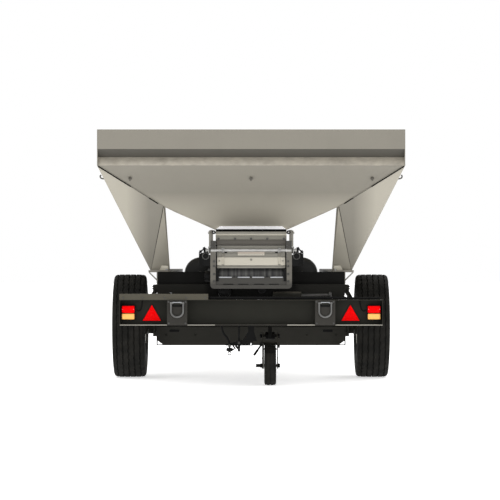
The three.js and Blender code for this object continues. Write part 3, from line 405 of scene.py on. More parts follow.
class Solid:
    """A mesh built up from closed simple forms, in the row's frame."""

    def __init__(self):
        self.bm = bmesh.new()

    def loops(self, rings, closed=False):
        """Skins a list of rings of points; each ring has the same count. Ends are capped."""
        verts = [[self.bm.verts.new(Vector(p) * MM) for p in ring] for ring in rings]
        pairs = list(zip(verts, verts[1:]))
        if closed:
            pairs.append((verts[-1], verts[0]))
        for one, two in pairs:
            for i in range(len(one)):
                j = (i + 1) % len(one)
                self.bm.faces.new((one[i], one[j], two[j], two[i]))
        if not closed:
            self.bm.faces.new(list(reversed(verts[0])))
            self.bm.faces.new(verts[-1])
        return self

    def box(self, one, other):
        """A box between two opposite corners."""
        (x0, x1), (y0, y1), (z0, z1) = (sorted(ends) for ends in zip(one, other))
        base = [(x0, y0), (x1, y0), (x1, y1), (x0, y1)]
        return self.loops([[(x, y, z) for x, y in base] for z in (z0, z1)])

    def prism(self, outline, axis, low, high):
        """An outline extruded along an axis: (y, z), (x, z) or (x, y) for X, Y or Z."""
        def point(u, v, w):
            return {"X": (w, u, v), "Y": (u, w, v), "Z": (u, v, w)}[axis]
        return self.loops([[point(u, v, w) for u, v in outline] for w in sorted((low, high))])

    def turned(self, profile, centre, direction="X", segments=48, closed=False):
        """A profile of (radius, along) turned about a line through centre."""
        forward = unit(direction)
        across, up = basis(forward)
        rings = []
        for radius, along in profile:
            middle = Vector(centre) + forward * along
            rings.append([middle + (across * math.cos(a) + up * math.sin(a)) * max(radius, 0.01)
                for a in (2 * math.pi * i / segments for i in range(segments))])
        return self.loops(rings, closed)

    def rod(self, start, end, radius, segments=24):
        length = (Vector(end) - Vector(start)).length
        return self.turned([(radius, 0), (radius, length)], start, Vector(end) - Vector(start), segments)

    def sweep(self, points, radius, sides=12, steps=8):
        """A round tube along a smooth curve through the points."""
        path = smooth_path(points, steps)
        across, up = basis(path[1] - path[0])
        rings = []
        for i, middle in enumerate(path):
            forward = (path[min(i + 1, len(path) - 1)] - path[max(i - 1, 0)]).normalized()
            across = (across - forward * across.dot(forward)).normalized()
            up = forward.cross(across)
            rings.append([middle + (across * math.cos(a) + up * math.sin(a)) * radius
                for a in (2 * math.pi * k / sides for k in range(sides))])
        return self.loops(rings)

    def ring(self, centre, direction, radius, wire, segments=40, sides=12):
        """A torus about a direction."""
        forward = unit(direction)
        across, up = basis(forward)
        rings = []
        for i in range(segments):
            a = 2 * math.pi * i / segments
            out = across * math.cos(a) + up * math.sin(a)
            middle = Vector(centre) + out * radius
            rings.append([middle + (out * math.cos(b) + forward * math.sin(b)) * wire
                for b in (2 * math.pi * k / sides for k in range(sides))])
        return self.loops(rings, closed=True)

    def bolt(self, place, direction, size=12, washer=True, stud=0.0):
        """A hexagon head with its washer, standing on a face at place."""
        base = Vector(place)
        forward = unit(direction)
        start = 0.0
        if washer:
            self.turned([(size * 1.15, 0), (size * 1.15, size * 0.16)], base, forward, 20)
            start = size * 0.16
        head = [(size * 0.92, start), (size, start + size * 0.1), (size, start + size * 0.6),
            (size * 0.86, start + size * 0.72)]
        self.turned(head, base, forward, 6)
        if stud:
            self.turned([(size * 0.55, start + size * 0.6), (size * 0.55, start + stud),
                (size * 0.45, start + stud + size * 0.1)], base, forward, 12)
        return self

    def weld(self, start, end, radius=4, pitch=12):
        """A rippled weld bead along a straight seam."""
        a, b = Vector(start), Vector(end)
        count = max(4, int((b - a).length / pitch * 2))
        across, up = basis(b - a)
        rings = []
        for i in range(count + 1):
            r = radius * (1.0 if i % 2 else 0.78)
            middle = a.lerp(b, i / count)
            rings.append([middle + (across * math.cos(t) + up * math.sin(t)) * r
                for t in (2 * math.pi * k / 8 for k in range(8))])
        return self.loops(rings)

    def done(self, name, material, body="chassis", slot=None, bevel=0, sharp=38, replaces=()):
        """Finishes the mesh, gives it its material, and rides it on its body."""
        bmesh.ops.recalc_face_normals(self.bm, faces=self.bm.faces)
        for face in self.bm.faces:
            face.smooth = True
        for edge in self.bm.edges:
            edge.smooth = edge.calc_face_angle(0) < math.radians(sharp)
        mesh = bpy.data.meshes.new(name)
        self.bm.to_mesh(mesh)
        self.bm.free()
        made = bpy.data.objects.new(name, mesh)
        bpy.context.collection.objects.link(made)
        mesh.materials.append(material)
        if bevel:
            soft = made.modifiers.new("bevel", "BEVEL")
            soft.width, soft.segments, soft.limit_method = bevel * MM, 2, "ANGLE"
            soft.angle_limit = math.radians(40)
        slot = slot or SLOTS[material.name]
        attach(made, body)
        if replaces:
            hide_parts(*replaces)
        return made


def rounded(x0, x1, z0, z1, radius, steps=6):
    """The outline of a rectangle with round corners, (x, z)."""
    corners = ((x1 - radius, z1 - radius, 0), (x0 + radius, z1 - radius, 90),
               (x0 + radius, z0 + radius, 180), (x1 - radius, z0 + radius, 270))
    return [(x + radius * math.cos(math.radians(start + 90 * i / steps)),
             z + radius * math.sin(math.radians(start + 90 * i / steps)))
            for x, z, start in corners for i in range(steps + 1)]


def pair(side, inner, outer):
    """Two X values on one side of the machine, the lower first."""
    return sorted((side * inner, side * outer))


def circle(count, radius, start=0):
    """Points (u, v) evenly round a circle; start is a share of one step."""
    return [(radius * math.cos(t), radius * math.sin(t))
            for t in (2 * math.pi * (i + start) / count for i in range(count))]


def star(x, z, size):
    """The outline of a knob with five lobes."""
    lobes = [size * (0.86 + 0.14 * math.cos(5 * 2 * math.pi * i / 40)) for i in range(40)]
    return [(x + reach * u, z + reach * v) for reach, (u, v) in zip(lobes, circle(40, 1))]


def paint_nodes(material, *nodes):
    """Gives CAD nodes their material."""
    for name in nodes:
        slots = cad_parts[name].material_slots
        for used in slots:
            used.material = material


# ------------------------------------------------------------------ floor
floor = Solid().box((-60000, -60000, -20), (60000, 60000, 0))
floor_mesh = bpy.data.meshes.new("floor")
floor.bm.to_mesh(floor_mesh)
floor_object = bpy.data.objects.new("floor", floor_mesh)
bpy.context.collection.objects.link(floor_object)
pale = Graph("pale_floor", (0.86, 0.86, 0.86), 0.9)
pale.shader.inputs["Emission Color"].default_value = (1, 1, 1, 1)
pale.shader.inputs["Emission Strength"].default_value = 0.55
pale.color(pale.mix(pale.span(pale.noise(0.6), 0.3, 0.7), (0.92, 0.92, 0.92), (0.94, 0.94, 0.94)))
floor_mesh.materials.append(pale.material)

# ------------------------------------------------------------------ CAD nodes' own materials
paint_nodes(HOPPER, "hopper_rear_wall", "hopper_front_wall", "hopper_left_wall", "hopper_right_wall",
    "hopper_tie_rear", "hopper_tie_front")
paint_nodes(LEG, "rear_leg_left", "rear_leg_right", *[f"side_support_{s}_{p}" for s, _ in SIDES
    for p in ("middle", "front")])
paint_nodes(OUTLET, "outlet_frame")
paint_nodes(FLAP, "outlet_flap")
paint_nodes(CHARCOAL, "rail_left", "rail_right", "middle_cross_member", "front_cross_member", "drawbar",
    "towing_eye", "jack_sleeve", "axle_beam", "lamp_beam", "conveyor_trough", "wheel_fork", "ram_barrel")
paint_nodes(CRADLE_PAINT, "axle_cradle")
paint_nodes(SCRAPER, "belt_scraper")
paint_nodes(CHASSIS_FACE, "rear_cross_member")
paint_nodes(STEP_PAINT, "step_board")
paint_nodes(BLACK, "belt_motor", "reservoir_left", "reservoir_right", "fork_lever", "coupler_bracket")
paint_nodes(GATE_BASE, "gate")
paint_nodes(ZINC, "jack_leg")
paint_nodes(DARK_STEEL, "drive_roller", "idler_roller")
paint_nodes(BRIGHT, "ram_rod")
paint_nodes(BELT, "conveyor_belt")


# ------------------------------------------------------------------ road wheels
AXLE_Y, AXLE_Z = at(1750), 460.5
WHEEL_X = 1083
TYRE_STEPS = 160          # steps round the tyre; every fourth pair makes one zigzag
# Half of the tyre's outer section, (radius, out from the middle); the third number says how far
# the point swings with the tread's zigzag.
TREAD = [(449, 4.5, 1), (460.4, 7, 1), (459.9, 44, 1), (448.5, 46.5, 1), (448.5, 54.5, 1), (459.8, 57, 1),
    (459.2, 95, 1), (447.5, 97.5, 1), (447.5, 105, 1), (458, 107.5, 1), (456, 121, 0), (450, 132, 0)]
SIDEWALL = [(442, 138.5), (432, 141.5), (406, 143), (404, 144.8), (397, 145), (395, 143.5), (360, 144.7),
    (330, 145.2), (290, 144.2), (264, 142), (262, 143.8), (256, 143.2), (254, 140.5), (240, 136.5),
    (224, 128.5), (214, 120.5), (209.5, 115.5), (199, 108.5), (188, 99)]
CARCASS = [(193, 87), (224, 107), (254, 124), (330, 129), (408, 122), (438, 96)]
ZIGZAG = 3
SHOULDER_NOTCH = 6


def tyre_section(step):
    """The closed section of the tyre at one step round it: (radius, out)."""
    swing = ZIGZAG * (1, 0, -1, 0)[step % 4]
    notch = SHOULDER_NOTCH if step % 4 == 0 else 0
    half = [(r, a) for r, a, _ in TREAD]
    swings = [s for _, _, s in TREAD]
    right = [(r - (notch if not s else 0), a + swing * s) for (r, a), s in zip(half, swings)]
    left = [(r - (notch if not s else 0), -a + swing * s) for (r, a), s in zip(half, swings)]
    outer = [*reversed(SIDEWALL)]
    return ([(r, -a) for r, a in outer] + left[::-1] + right + SIDEWALL + CARCASS + [(r, -a)
        for r, a in reversed(CARCASS)])


def tyre(name, x, side):
    rings = []
    for step, (u, v) in enumerate(circle(TYRE_STEPS, 1)):
        rings.append([(x + side * a, AXLE_Y + r * u, AXLE_Z + r * v) for r, a in tyre_section(step)])
    made = Solid().loops(rings, closed=True)
    return made.done(f"tyre_{name}_ribbed", TYRE, f"{name}_wheel", sharp=30, replaces=(f"tyre_{name}",))


RIM_SECTION = [(172, -116), (190, -127.5), (199, -130), (205.5, -126), (205, -122.5), (195, -114),
    (185, -106), (184.5, -50), (172, -30), (172, 30), (184.5, 50), (185, 106), (195, 114), (205, 122.5),
    (205.5, 126), (199, 130), (190, 127.5), (172, 116), (176, 102), (176, 50), (164, 30), (164, -30),
    (176, -50), (176, -102)]
DISC_PROFILE = [(60, 4), (80, 4), (108, 4), (118, 10), (128, 18), (142, 24), (154, 18), (164.2, 4)]
HAND_HOLES = 8
NUT_CIRCLE = 94
NUTS = 6


def wheel_disc(name, x, side):
    """The dished disc with hand holes, made as a sheet with thickness."""
    solid = Solid()
    steps = HAND_HOLES * 12
    grid = []
    for u, v in circle(steps, 1):
        grid.append([solid.bm.verts.new(Vector((x + side * a, AXLE_Y + r * u, AXLE_Z + r * v)) * MM)
            for r, a in DISC_PROFILE])
    for i in range(steps):
        here, there = grid[i], grid[(i + 1) % steps]
        for k in range(len(DISC_PROFILE) - 1):
            if k in (4, 5) and i % 12 in (2, 3, 4, 5, 6, 7, 8):
                continue
            solid.bm.faces.new((here[k], here[k + 1], there[k + 1], there[k]))
    made = solid.done(f"wheel_disc_{name}", CREAM, f"{name}_wheel")
    thick = made.modifiers.new("thickness", "SOLIDIFY")
    thick.thickness, thick.offset = 7 * MM, 0
    return made


def hub(name, x, side):
    """Hub, flange, grease cap and wheel nuts."""
    centre = (x, AXLE_Y, AXLE_Z)
    out = Vector((side, 0, 0))
    body = Solid().turned([(36, -156), (70, -156), (76, -150), (76, -30), (82, -20), (112, -14), (116, -10),
        (116, -2), (60, 0), (60, 20), (55, 26), (36, 26)], centre, out, 56, closed=True)
    body.done(f"wheel_hub_{name}", CHARCOAL, f"{name}_wheel")
    cap = Solid().turned([(44, 26.5), (44, 40), (41, 56), (32, 64), (14, 67), (0, 67.5)], centre, out, 40)
    cap.done(f"grease_cap_{name}", ZINC, f"{name}_wheel")
    nuts = Solid()
    for u, v in circle(NUTS, NUT_CIRCLE, 0.5):
        nuts.bolt((x + side * 7.8, AXLE_Y + u, AXLE_Z + v), out, 16.5, stud=16)
    valve = Vector((x + side * 20, AXLE_Y, AXLE_Z + 158))
    nuts.rod(valve, valve + out * 35, 5, 10)
    nuts.done(f"wheel_nuts_{name}", ZINC, f"{name}_wheel")


for name, side in SIDES:
    x = side * WHEEL_X
    tyre(name, x, side)
    barrel = Solid().turned(RIM_SECTION, (x, AXLE_Y, AXLE_Z), Vector((side, 0, 0)), 96, closed=True)
    barrel.done(f"wheel_rim_{name}_rolled", CREAM, f"{name}_wheel", sharp=50,
        replaces=(f"wheel_rim_{name}",))
    wheel_disc(name, x, side)
    hub(name, x, side)
    brake = Solid().turned([(0, 0), (68, 0), (71, 3), (71, 70), (0, 70)], (side * 850, AXLE_Y, AXLE_Z),
        Vector((side, 0, 0)), 48)
    brake.ring((side * 918, AXLE_Y, AXLE_Z), "X", 66, 4, 48, 8)
    brake.done(f"axle_end_{name}", CHARCOAL)

# ------------------------------------------------------------------ ground wheel
AXLE = (at(400), 166)                # the small wheel's axle, (Y, Z)
GROUND = Vector((161, *AXLE))
GROUND_SECTION = [(100.5, 28), (112, 42), (130, 48), (148, 49.5), (158, 45.5), (164, 38.5), (164.5, 35),
    (162, 33), (162, 30), (165, 28), (166, 7), (161.5, 4)]
ground = Solid()
rings = []
section = [*GROUND_SECTION, *[(r, -a) for r, a in reversed(GROUND_SECTION)]]
for u, v in circle(96, 1):
    rings.append([GROUND + Vector((a, r * u, r * v)) for r, a in section])
ground.loops(rings, closed=True)
ground.done("ground_tyre_ribbed", TYRE, "ground_wheel", sharp=30, replaces=("ground_tyre",))
ground_rim = Solid().turned([(12.5, -40), (26, -40), (28, -37), (28, -8), (78, -6), (82, -12), (86, -27),
    (97, -29.5), (99.2, -27), (99.2, 27), (97, 29.5), (86, 27), (82, 12), (78, 6), (28, 8), (28, 37),
    (26, 40), (12.5, 40)], GROUND, "X", 72, closed=True)
ground_rim.done("ground_rim_turned", CREAM, "ground_wheel", replaces=("ground_rim",))
ground_bolts = Solid()
for u, v in circle(5, 55):
    for side in (-1, 1):
        ground_bolts.bolt(GROUND + Vector((side * 6.6, u, v)), (side, 0, 0), 7)
ground_bolts.done("ground_wheel_bolts", ZINC, "ground_wheel")
axle_nuts = Solid()
axle_nuts.bolt(GROUND + Vector((66.2, 0, 0)), (1, 0, 0), 19)
axle_nuts.bolt(GROUND + Vector((-68.2, 0, 0)), "-X", 19)
pivot = Vector((161, at(620), 410))
axle_nuts.bolt(pivot + Vector((66.2, 0, 0)), (1, 0, 0), 20)
axle_nuts.bolt(pivot + Vector((-68.2, 0, 0)), "-X", 20)
axle_nuts.done("fork_nuts", BLACK, "ground_arm")

# ------------------------------------------------------------------ hopper details
RIM_X = RIM_HIGH.x                     # half width of the rim
SHOULDER_Z, KNEE, MOUTH = 1840, (737, 1508), (301, 1315)
END_RUN = 520 / (SHOULDER_Z - MOUTH[1])     # run of an end wall per millimetre of drop
HOPPER_LENGTH = 3700
OUT_Y, OUT_Z = -0.7105, -0.7037       # the rear slope's outward direction


def slope_at(z, out=0):
    """Point (Y, Z) on the rear slope at a height, moved out from the sheet."""
    return at((SHOULDER_Z - z) * END_RUN + out * OUT_Y), z + out * OUT_Z


def rear_corner(side, x, z):
    """A point on the corner seam between the rear slope and a side wall."""
    return Vector((side * x, at((SHOULDER_Z - z) * END_RUN), z))


seams = Solid()
seam_shadow = Solid()
for _, side in SIDES:
    rim_corner = rear_corner(side, RIM_X, SHOULDER_Z)
    knee = rear_corner(side, *KNEE)
    mouth = rear_corner(side, MOUTH[0] + 4, MOUTH[1])
    seams.weld(knee, mouth, 3, 11)
    for low, high in ((SHOULDER_Z, GROOVE_MIDDLE_Z), (GROOVE_TOP_Z, RIM_HIGH.z)):
        edge = Vector((side * (RIM_X - 1), REAR + 1, 0))
        seams.weld(edge + Vector((0, 0, low)), edge + Vector((0, 0, high - 3)), 2.2, 10)
    for share in (0, 1):
        ahead = HOPPER_LENGTH * share
        inward = 1 if share == 0 else -1
        top = Vector((side * (RIM_X - 8), at(ahead + inward * 10), SHOULDER_Z))
        bend = Vector((side * (KNEE[0] - 6), at(ahead + inward * 337), KNEE[1] + 6))
        foot = Vector((side * (MOUTH[0] - 6), at(ahead + inward * 528), MOUTH[1] + 6))
        seams.weld(top, bend, 4.5, 14)
        seams.weld(bend, foot, 4.5, 14)
    # Painted shadow: a dark bead in the gap between the leg's top edge and the hopper's corner.
    drop = Vector((side * 2, -3, -5))
    for start, end, thick in ((0.01, 0.50, 5), (0.50, 0.78, 1.6), (0.78, 0.92, 4.8)):
        seam_shadow.weld(rim_corner.lerp(knee, start) + drop, rim_corner.lerp(knee, end) + drop, thick, 30)
seams.done("hopper_seam_welds", HOPPER)
# Painted shade: a dark line down the fold between each rear leg's two faces.
for _, side in SIDES:
    fold = Vector((side * 737, at(324), 1506))
    toe = Vector((side * 850, at(495), 970))
    seam_shadow.rod(fold, toe, 2.2, 10)
seam_shadow.done("leg_seam_painted_shadow", BLACK)

# Hooks for the cover's cord: three on the rear slope, four along each side.
HOOK_WIRE = 6
hooks = Solid()
for x in (-1007, 0, 1007):
    y, z = slope_at(1737, 2)
    base = Vector((x, y, z))
    out = Vector((0, OUT_Y, OUT_Z))
    hooks.turned([(15, 0), (15, 4), (11, 7), (7, 9)], base, out, 24)
    hooks.sweep([base + out * 4, base + out * 20, base + out * 34 + Vector((0, 0, 6)),
        base + out * 36 + Vector((0, 0, 18)), base + out * 24 + Vector((0, 0, 26))], HOOK_WIRE, 10, 5)
SIDE_HOOKS = (150, 1300, 2450, 3550)
for _, side in SIDES:
    for ahead in SIDE_HOOKS:
        y = at(ahead)
        hooks.turned([(13, 0), (13, 4), (8, 8)], (side * 1160.5, y, 1769), (side * 0.525, 0, -0.851), 20)
        hooks.sweep([(side * x, y, z) for x, z in ((1160, 1770), (1170, 1750), (1195, 1736), (1230, 1734),
            (1252, 1740), (1258, 1756), (1250, 1766))], HOOK_WIRE, 10, 5)
hooks.done("cover_cord_hooks", OUTLET)

# Pale sealing strip across the foot of the rear slope, made to glow a little as painted light, with a
# rubber lip under it.
strip = Solid()
rings = []
for half, y, z in ((265, 486.8, 1341.5), (297, 486, 1316.5)):
    back = at((SHOULDER_Z - z) * END_RUN - 1)
    rings.append([(-half, at(y), z), (half, at(y), z), (half, back, z), (-half, back, z)])
strip.loops(rings)
strip.done("mouth_seal_strip", LAVENDER, bevel=1.5)
lip = Solid()
y0, z0 = at(485), 1316
y1, z1 = at(488), 1298.5
lip.prism([(y0, z0), (y0 + 7, z0 + 1), (y1 + 7, z1 + 1), (y1, z1)], "X", -298, 298)
lip.done("mouth_rubber_lip", HOSE, bevel=1)
strip_screws = Solid()
for x in (-240, -120, 0, 120, 240):
    strip_screws.turned([(4.5, 0), (4.2, 1.8), (2, 2.8)], (x, at(486.2), 1329), "-Y", 16)
strip_screws.done("seal_strip_screws", LAVENDER)

# ------------------------------------------------------------------ rear legs and side supports
FOOT_TOP, FOOT_LOW = 968.3, 956.3
RAIL_OUT = 790
pads, gussets, fasteners = Solid(), Solid(), Solid()
for _, side in SIDES:
    pads.prism([(side * x, z) for x, z in ((704, FOOT_TOP), (797, FOOT_TOP), (797, 1000), (785, 1010),
        (704, 1006))], "Y", at(560), at(640))
    outline = [(RAIL_OUT + 0.5, 878), (RAIL_OUT + 8, 878), (868, 948), (868, FOOT_LOW),
        (RAIL_OUT + 0.5, FOOT_LOW)]
    opening = [(RAIL_OUT + 5.5, 884), (RAIL_OUT + 6.5, 884), (862.5, 949), (862.5, 951.5),
        (RAIL_OUT + 5.5, 951.5)]
    for front, back in ((500, 508), (652, 660)):
        gussets.loops([[(side * x, at(d), z) for x, z in line]
            for line, d in ((outline, front), (outline, back), (opening, back), (opening, front))],
            closed=True)
    for x in (716, 846):
        for ahead in (500, 660):
            fasteners.bolt((side * x, at(ahead + (14 if ahead < 600 else -14)), FOOT_TOP), "Z", 11, stud=10)
    for ahead in (2300, 3580):
        for z in (825, 920):
            fasteners.bolt((side * 830, at(ahead), z), "-Y", 12, stud=8)
pads.done("leg_foot_pads", CREAM, slot="leg_beige", bevel=2)
gussets.done("leg_gussets", LEG, bevel=1.2)
fasteners.done("leg_bolts", ZINC)

# ------------------------------------------------------------------ rear outlet
OUTLET_FACE = at(150)                # rear face of the outlet frame
SHAFT_Y, SHAFT_Z = at(165), 1137
FLAP_FACE = at(176)
HINGE = (at(178), 1284)              # the flap's hinge, (Y, Z)
GATE_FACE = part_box("gate")[1].y / MM - 6     # rear face of the gate's sheet
BAR_FACE = GATE_FACE - 6


def gear(solid, centre, root, tip, x0, x1, teeth, phase=0):
    """A spur gear about X with flat-topped teeth."""
    outline = []
    for i in range(teeth):
        for share, radius in ((0.0, root), (0.30, root), (0.42, tip), (0.88, tip)):
            angle = 2 * math.pi * (i + share + phase) / teeth
            outline.append((centre[0] + radius * math.cos(angle), centre[1] + radius * math.sin(angle)))
    return solid.prism(outline, "X", x0, x1)


# The flap's fasteners, and the bright pins with curved straps at its ends.
flap_bolts = Solid()
for x in (-272, -135, 0, 135, 272):
    flap_bolts.bolt((x, FLAP_FACE, 1234), "-Y", 8.5)
flap_bolts.done("flap_bolts", DARK_STEEL, "dust_flap")
# Half-round cover along the flap's top, in the lighter flap paint: painted light on its upper face.
cover = Solid()
roll = [(FLAP_FACE - 0.5, 1292.5), (FLAP_FACE - 6, 1291.5), (FLAP_FACE - 8.5, 1287),
    (FLAP_FACE - 8.5, 1279), (FLAP_FACE - 6, 1274.5), (FLAP_FACE - 0.5, 1273.5)]
cover.prism(roll, "X", -295, 295)
cover.done("flap_hinge_cover", FLAP_ROLL_LIT, "dust_flap", bevel=0.8)
# Cream strip along the flap's drip edge: a painted highlight.
drip = Solid()
drip.prism([(FLAP_FACE - 9.2, 1271.2), (FLAP_FACE - 11, 1269.8), (FLAP_FACE - 11, 1265.5),
    (FLAP_FACE - 9.2, 1264.5)], "X", -295.2, 295.2)
flap = Solid().prism([(at(d), z) for d, z in ((182, 1228), (182, 1294), (154, 1294), (152, 1292),
    (152, 1288), (176, 1288), (176, 1274), (167, 1270), (167, 1265), (176, 1260), (176, 1232),
    (173.5, 1230), (173.5, 1228))], "X", -295.5, 295.5)
flap.turned([(5, -346), (6, -345), (6, -295)], (0, *HINGE), "X", 28)
flap.turned([(6, 295), (6, 345), (5, 346)], (0, *HINGE), "X", 28)
flap.done("flap_folded", FLAP, "dust_flap", bevel=0.6, replaces=("outlet_flap",))
drip.done("flap_drip_edge_highlight", CREAM, "dust_flap", slot="leg_beige", bevel=0.4)
straps, pins, pin_rings = Solid(), Solid(), Solid()
for _, side in SIDES:
    outer = [(at(151 + 22 * (1 - math.cos(t))), 1270 + 34 * math.sin(t))
        for t in (math.pi / 2 * i / 8 for i in range(9))]
    inner = [(y + 5, z - 4) for y, z in reversed(outer)]
    low = [(at(156), 1166), (at(151), 1166)]
    straps.prism([*outer, *inner, *low], "X", side * 340.5, side * 352)
    pins.turned([(15.5, 0), (15.5, 4), (12.5, 6), (9.5, 7), (9.5, 12), (7, 14)],
        (side * 346.5, *HINGE), (side, 0, 0), 28)
    pins.turned([(6, 0), (6, 6), (4.5, 7)], (side * 312, OUTLET_FACE, 1288.5), "-Y", 24)
    pin_rings.turned([(6.5, 0), (16.5, 0), (16.5, 3), (14.5, 4.2), (6.5, 4.2)],
        (side * 312, OUTLET_FACE, 1288.5), "-Y", 32, closed=True)
    pin_rings.box((side * 300, OUTLET_FACE + 0.2, 1274), (side * 319.5, OUTLET_FACE + 3.5, 1303))
straps.done("flap_side_straps", FLAP, bevel=1.2)
pins.done("flap_pin_ends", BRIGHT)
pin_rings.done("flap_pin_rings", BLACK)

# Bearing plates of the gate shaft, and the bolts on the frame's uprights.
plates = Solid()
frame_bolts = Solid()
for _, side in SIDES:
    plates.box((side * 296.5, at(145.5), 1150), (side * 338.5, at(149.7), 1217))
    plates.turned([(13.5, 0), (26, 0), (26, 10), (23, 13), (13.5, 13)], (side * 340.2, SHAFT_Y, SHAFT_Z),
        (side, 0, 0), 32, closed=True)
    for z in (1203, 1166):
        frame_bolts.bolt((side * 319, at(145.5), z), "-Y", 7.5)
    for z in (1046, 1006, 940, 880):
        frame_bolts.bolt((side * 309, OUTLET_FACE, z), "-Y", 8.5)
plates.done("shaft_bearing_plates", SCRAPER, slot="black_paint", bevel=1.5)
frame_bolts.done("outlet_frame_bolts", DARK_STEEL)

# Gate shaft: a polished bar with two pinions, toothed discs and end collars.
shaft = Solid().turned([(10.5, -378), (12, -376.5), (12, 376.5), (10.5, 378)],
    (0, SHAFT_Y, SHAFT_Z), "X", 48)
shaft.done("gate_shaft_bar", BRIGHT, "gate_drive", replaces=("gate_shaft",))
drive = Solid()
for _, side in SIDES:
    for inner, outer, root, tip, teeth in ((225, 245, 15.5, 20.5, 12), (350, 358, 26.5, 31.8, 18)):
        gear(drive, (SHAFT_Y, SHAFT_Z), root, tip, side * inner, side * outer, teeth)
    drive.turned([(12.5, 0), (18, 0), (18, 3), (16.5, 5), (16.5, 10), (18, 12), (18, 13.5), (12.5, 13.5)],
        (side * 366, SHAFT_Y, SHAFT_Z), (side, 0, 0), 32, closed=True)
drive.done("gate_shaft_gears", BRIGHT, "gate_drive", slot="bare_steel")
bushes = Solid()
for _, side in SIDES:
    bushes.turned([(12.8, 0), (16.5, 0), (17.5, 1.5), (17.5, 51.5), (16.5, 53), (12.8, 53)],
        (side * 288, SHAFT_Y, SHAFT_Z), (side, 0, 0), 40, closed=True)
bushes.done("gate_shaft_bushes", BRIGHT)

# Racks, the cream stiffener, the two-tone scale plate and the fasteners on the gate.
PINION_PITCH, TOOTH_COUNT, RACK_LOW = 18, 13, 1020
TOOTH_TIP, TOOTH_ROOT = SHAFT_Y + 19.8, SHAFT_Y + 22.8
tooth_step = 2 * math.pi * PINION_PITCH / 12
racks = Solid()
for _, side in SIDES:
    outline = [(GATE_FACE, RACK_LOW), (TOOTH_ROOT, RACK_LOW)]
    for i in range(TOOTH_COUNT):
        low = RACK_LOW + i * tooth_step
        outline += [(TOOTH_ROOT, low + 0.2), (TOOTH_TIP, low + tooth_step * 0.2),
            (TOOTH_TIP, low + tooth_step * 0.45), (TOOTH_ROOT, low + tooth_step * 0.65)]
    top = RACK_LOW + TOOTH_COUNT * tooth_step
    outline += [(TOOTH_ROOT, top), (GATE_FACE, top)]
    racks.prism(outline, "X", side * 224, side * 246)
racks.done("gate_racks", RACK_PAINT, "outlet_gate")
STIFFENER = ((0, 1080), (-2.5, 1078.5), (-3.5, 1075), (-3.5, 1023), (-6, 1019), (-6, 1015),
    (-3.5, 1012.5), (0, 1012))
stiffener = Solid()
for x0, x1 in ((-283.5, -246.5), (-223.5, 223.5), (246.5, 283.5)):
    stiffener.prism([(BAR_FACE + y, z) for y, z in STIFFENER], "X", x0, x1)
stiffener.done("gate_stiffener", GATE_CREAM, "outlet_gate", bevel=0.8)
scale_low = Solid().box((-111.5, BAR_FACE - 3, 1095.5), (111.5, BAR_FACE - 0.2, 1109))
scale_low.done("gate_scale_plate", GATE_CREAM, "outlet_gate", bevel=0.6)
scale_top = Solid().box((-111.5, BAR_FACE - 3.2, 1109.5), (111.5, BAR_FACE - 0.2, 1127.5))
scale_top.done("gate_scale_strip", BROWN, "outlet_gate", bevel=0.6)
marks = Solid()
for i in range(21):
    x = -95 + i * 9.5
    tall = 7 if i % 5 == 0 else 4
    marks.box((x - 0.5, BAR_FACE - 3.4, 1107 - tall), (x + 0.5, BAR_FACE - 2.9, 1107))
# Two black strips either side of the scale plate: painted shadow under the gate shaft.
for _, side in SIDES:
    marks.box((side * 118, GATE_FACE - 0.8, 1113), (side * 222, GATE_FACE - 0.1, 1126.2))
marks.done("gate_marks_and_shaft_shadows", BLACK, "outlet_gate")
gate_parts = Solid()
gate_parts.bolt((0, BAR_FACE - 3.5, 1060), "-Y", 8.5)
for x in (-265, 265):
    gate_parts.bolt((x, BAR_FACE - 3.5, 1050), "-Y", 6)
gate_parts.done("gate_fasteners", GATE_BASE, "outlet_gate")

# Rubber curtain behind the flap, with a moulded bead along its lower edge.
curtain = Solid().prism([(at(182.4), 1262), (at(184.3), 1262), (at(184.3), 1185), (at(183.8), 1184),
    (at(179.8), 1184), (at(179), 1186), (at(179), 1190), (at(179.8), 1192), (at(182.4), 1193)],
    "X", -290, 290)
curtain.done("flap_curtain_beaded", CURTAIN, "dust_flap", replaces=("flap_curtain",))

# Side adjusters: covers, sprockets with chain rings, star knobs and a threaded rod.
covers, rings_made, knobs = Solid(), Solid(), Solid()
for _, side in SIDES:
    covers.box((side * 340.5, at(152), 1006), (side * 402, at(154.5), 1100))
    covers.prism([(side * x, z) for x, z in ((341, 1010), (420, 1010), (430, 1025), (430, 1102),
        (418, 1118), (396, 1118), (396, 1102), (341, 1102))], "Y", at(156), at(160))
    covers.box((side * 356, at(156.2), 1100), (side * 393, at(160), 1148))
    covers.turned([(0, 0), (19, 0), (19, 10), (13, 12), (0, 12)], (side * 379, at(152), 1090),
        "-Y", 32)
    rings_made.ring((side * 379, at(148.5), 1090), "Y", 26.5, 3.4, 36, 8)
    for u, v in circle(10, 26.5):
        rings_made.turned([(5.2, 0), (5.2, 4)], (side * 379 + u, at(146.5), 1090 + v), "-Y", 10)
    for x, z, size in ((390, 1153, 15), (421, 1127, 14)):
        knobs.prism(star(side * x, z, size), "Y", at(128), at(142))
        knobs.turned([(7.5, 0), (7.5, 12)], (side * x, at(142), z), "Y", 20)
    knobs.rod((side * 390, at(154), 1153), (side * 421, at(154), 1127), 6, 12)
    knobs.rod((side * 390, at(154), 1153), (side * 390, at(154), 1100), 7, 12)
    knobs.rod((side * 431, at(151.5), 1010), (side * 431, at(151.5), 1122), 4.5, 12)
    knobs.box((side * 395, at(146.5), 1012), (side * 436, at(155.8), 1022))
covers.done("adjuster_covers", BLACK, bevel=1.5)
rings_made.done("adjuster_chain_rings", DARK_STEEL)
knobs.done("adjuster_knobs", BLACK, bevel=0.8)

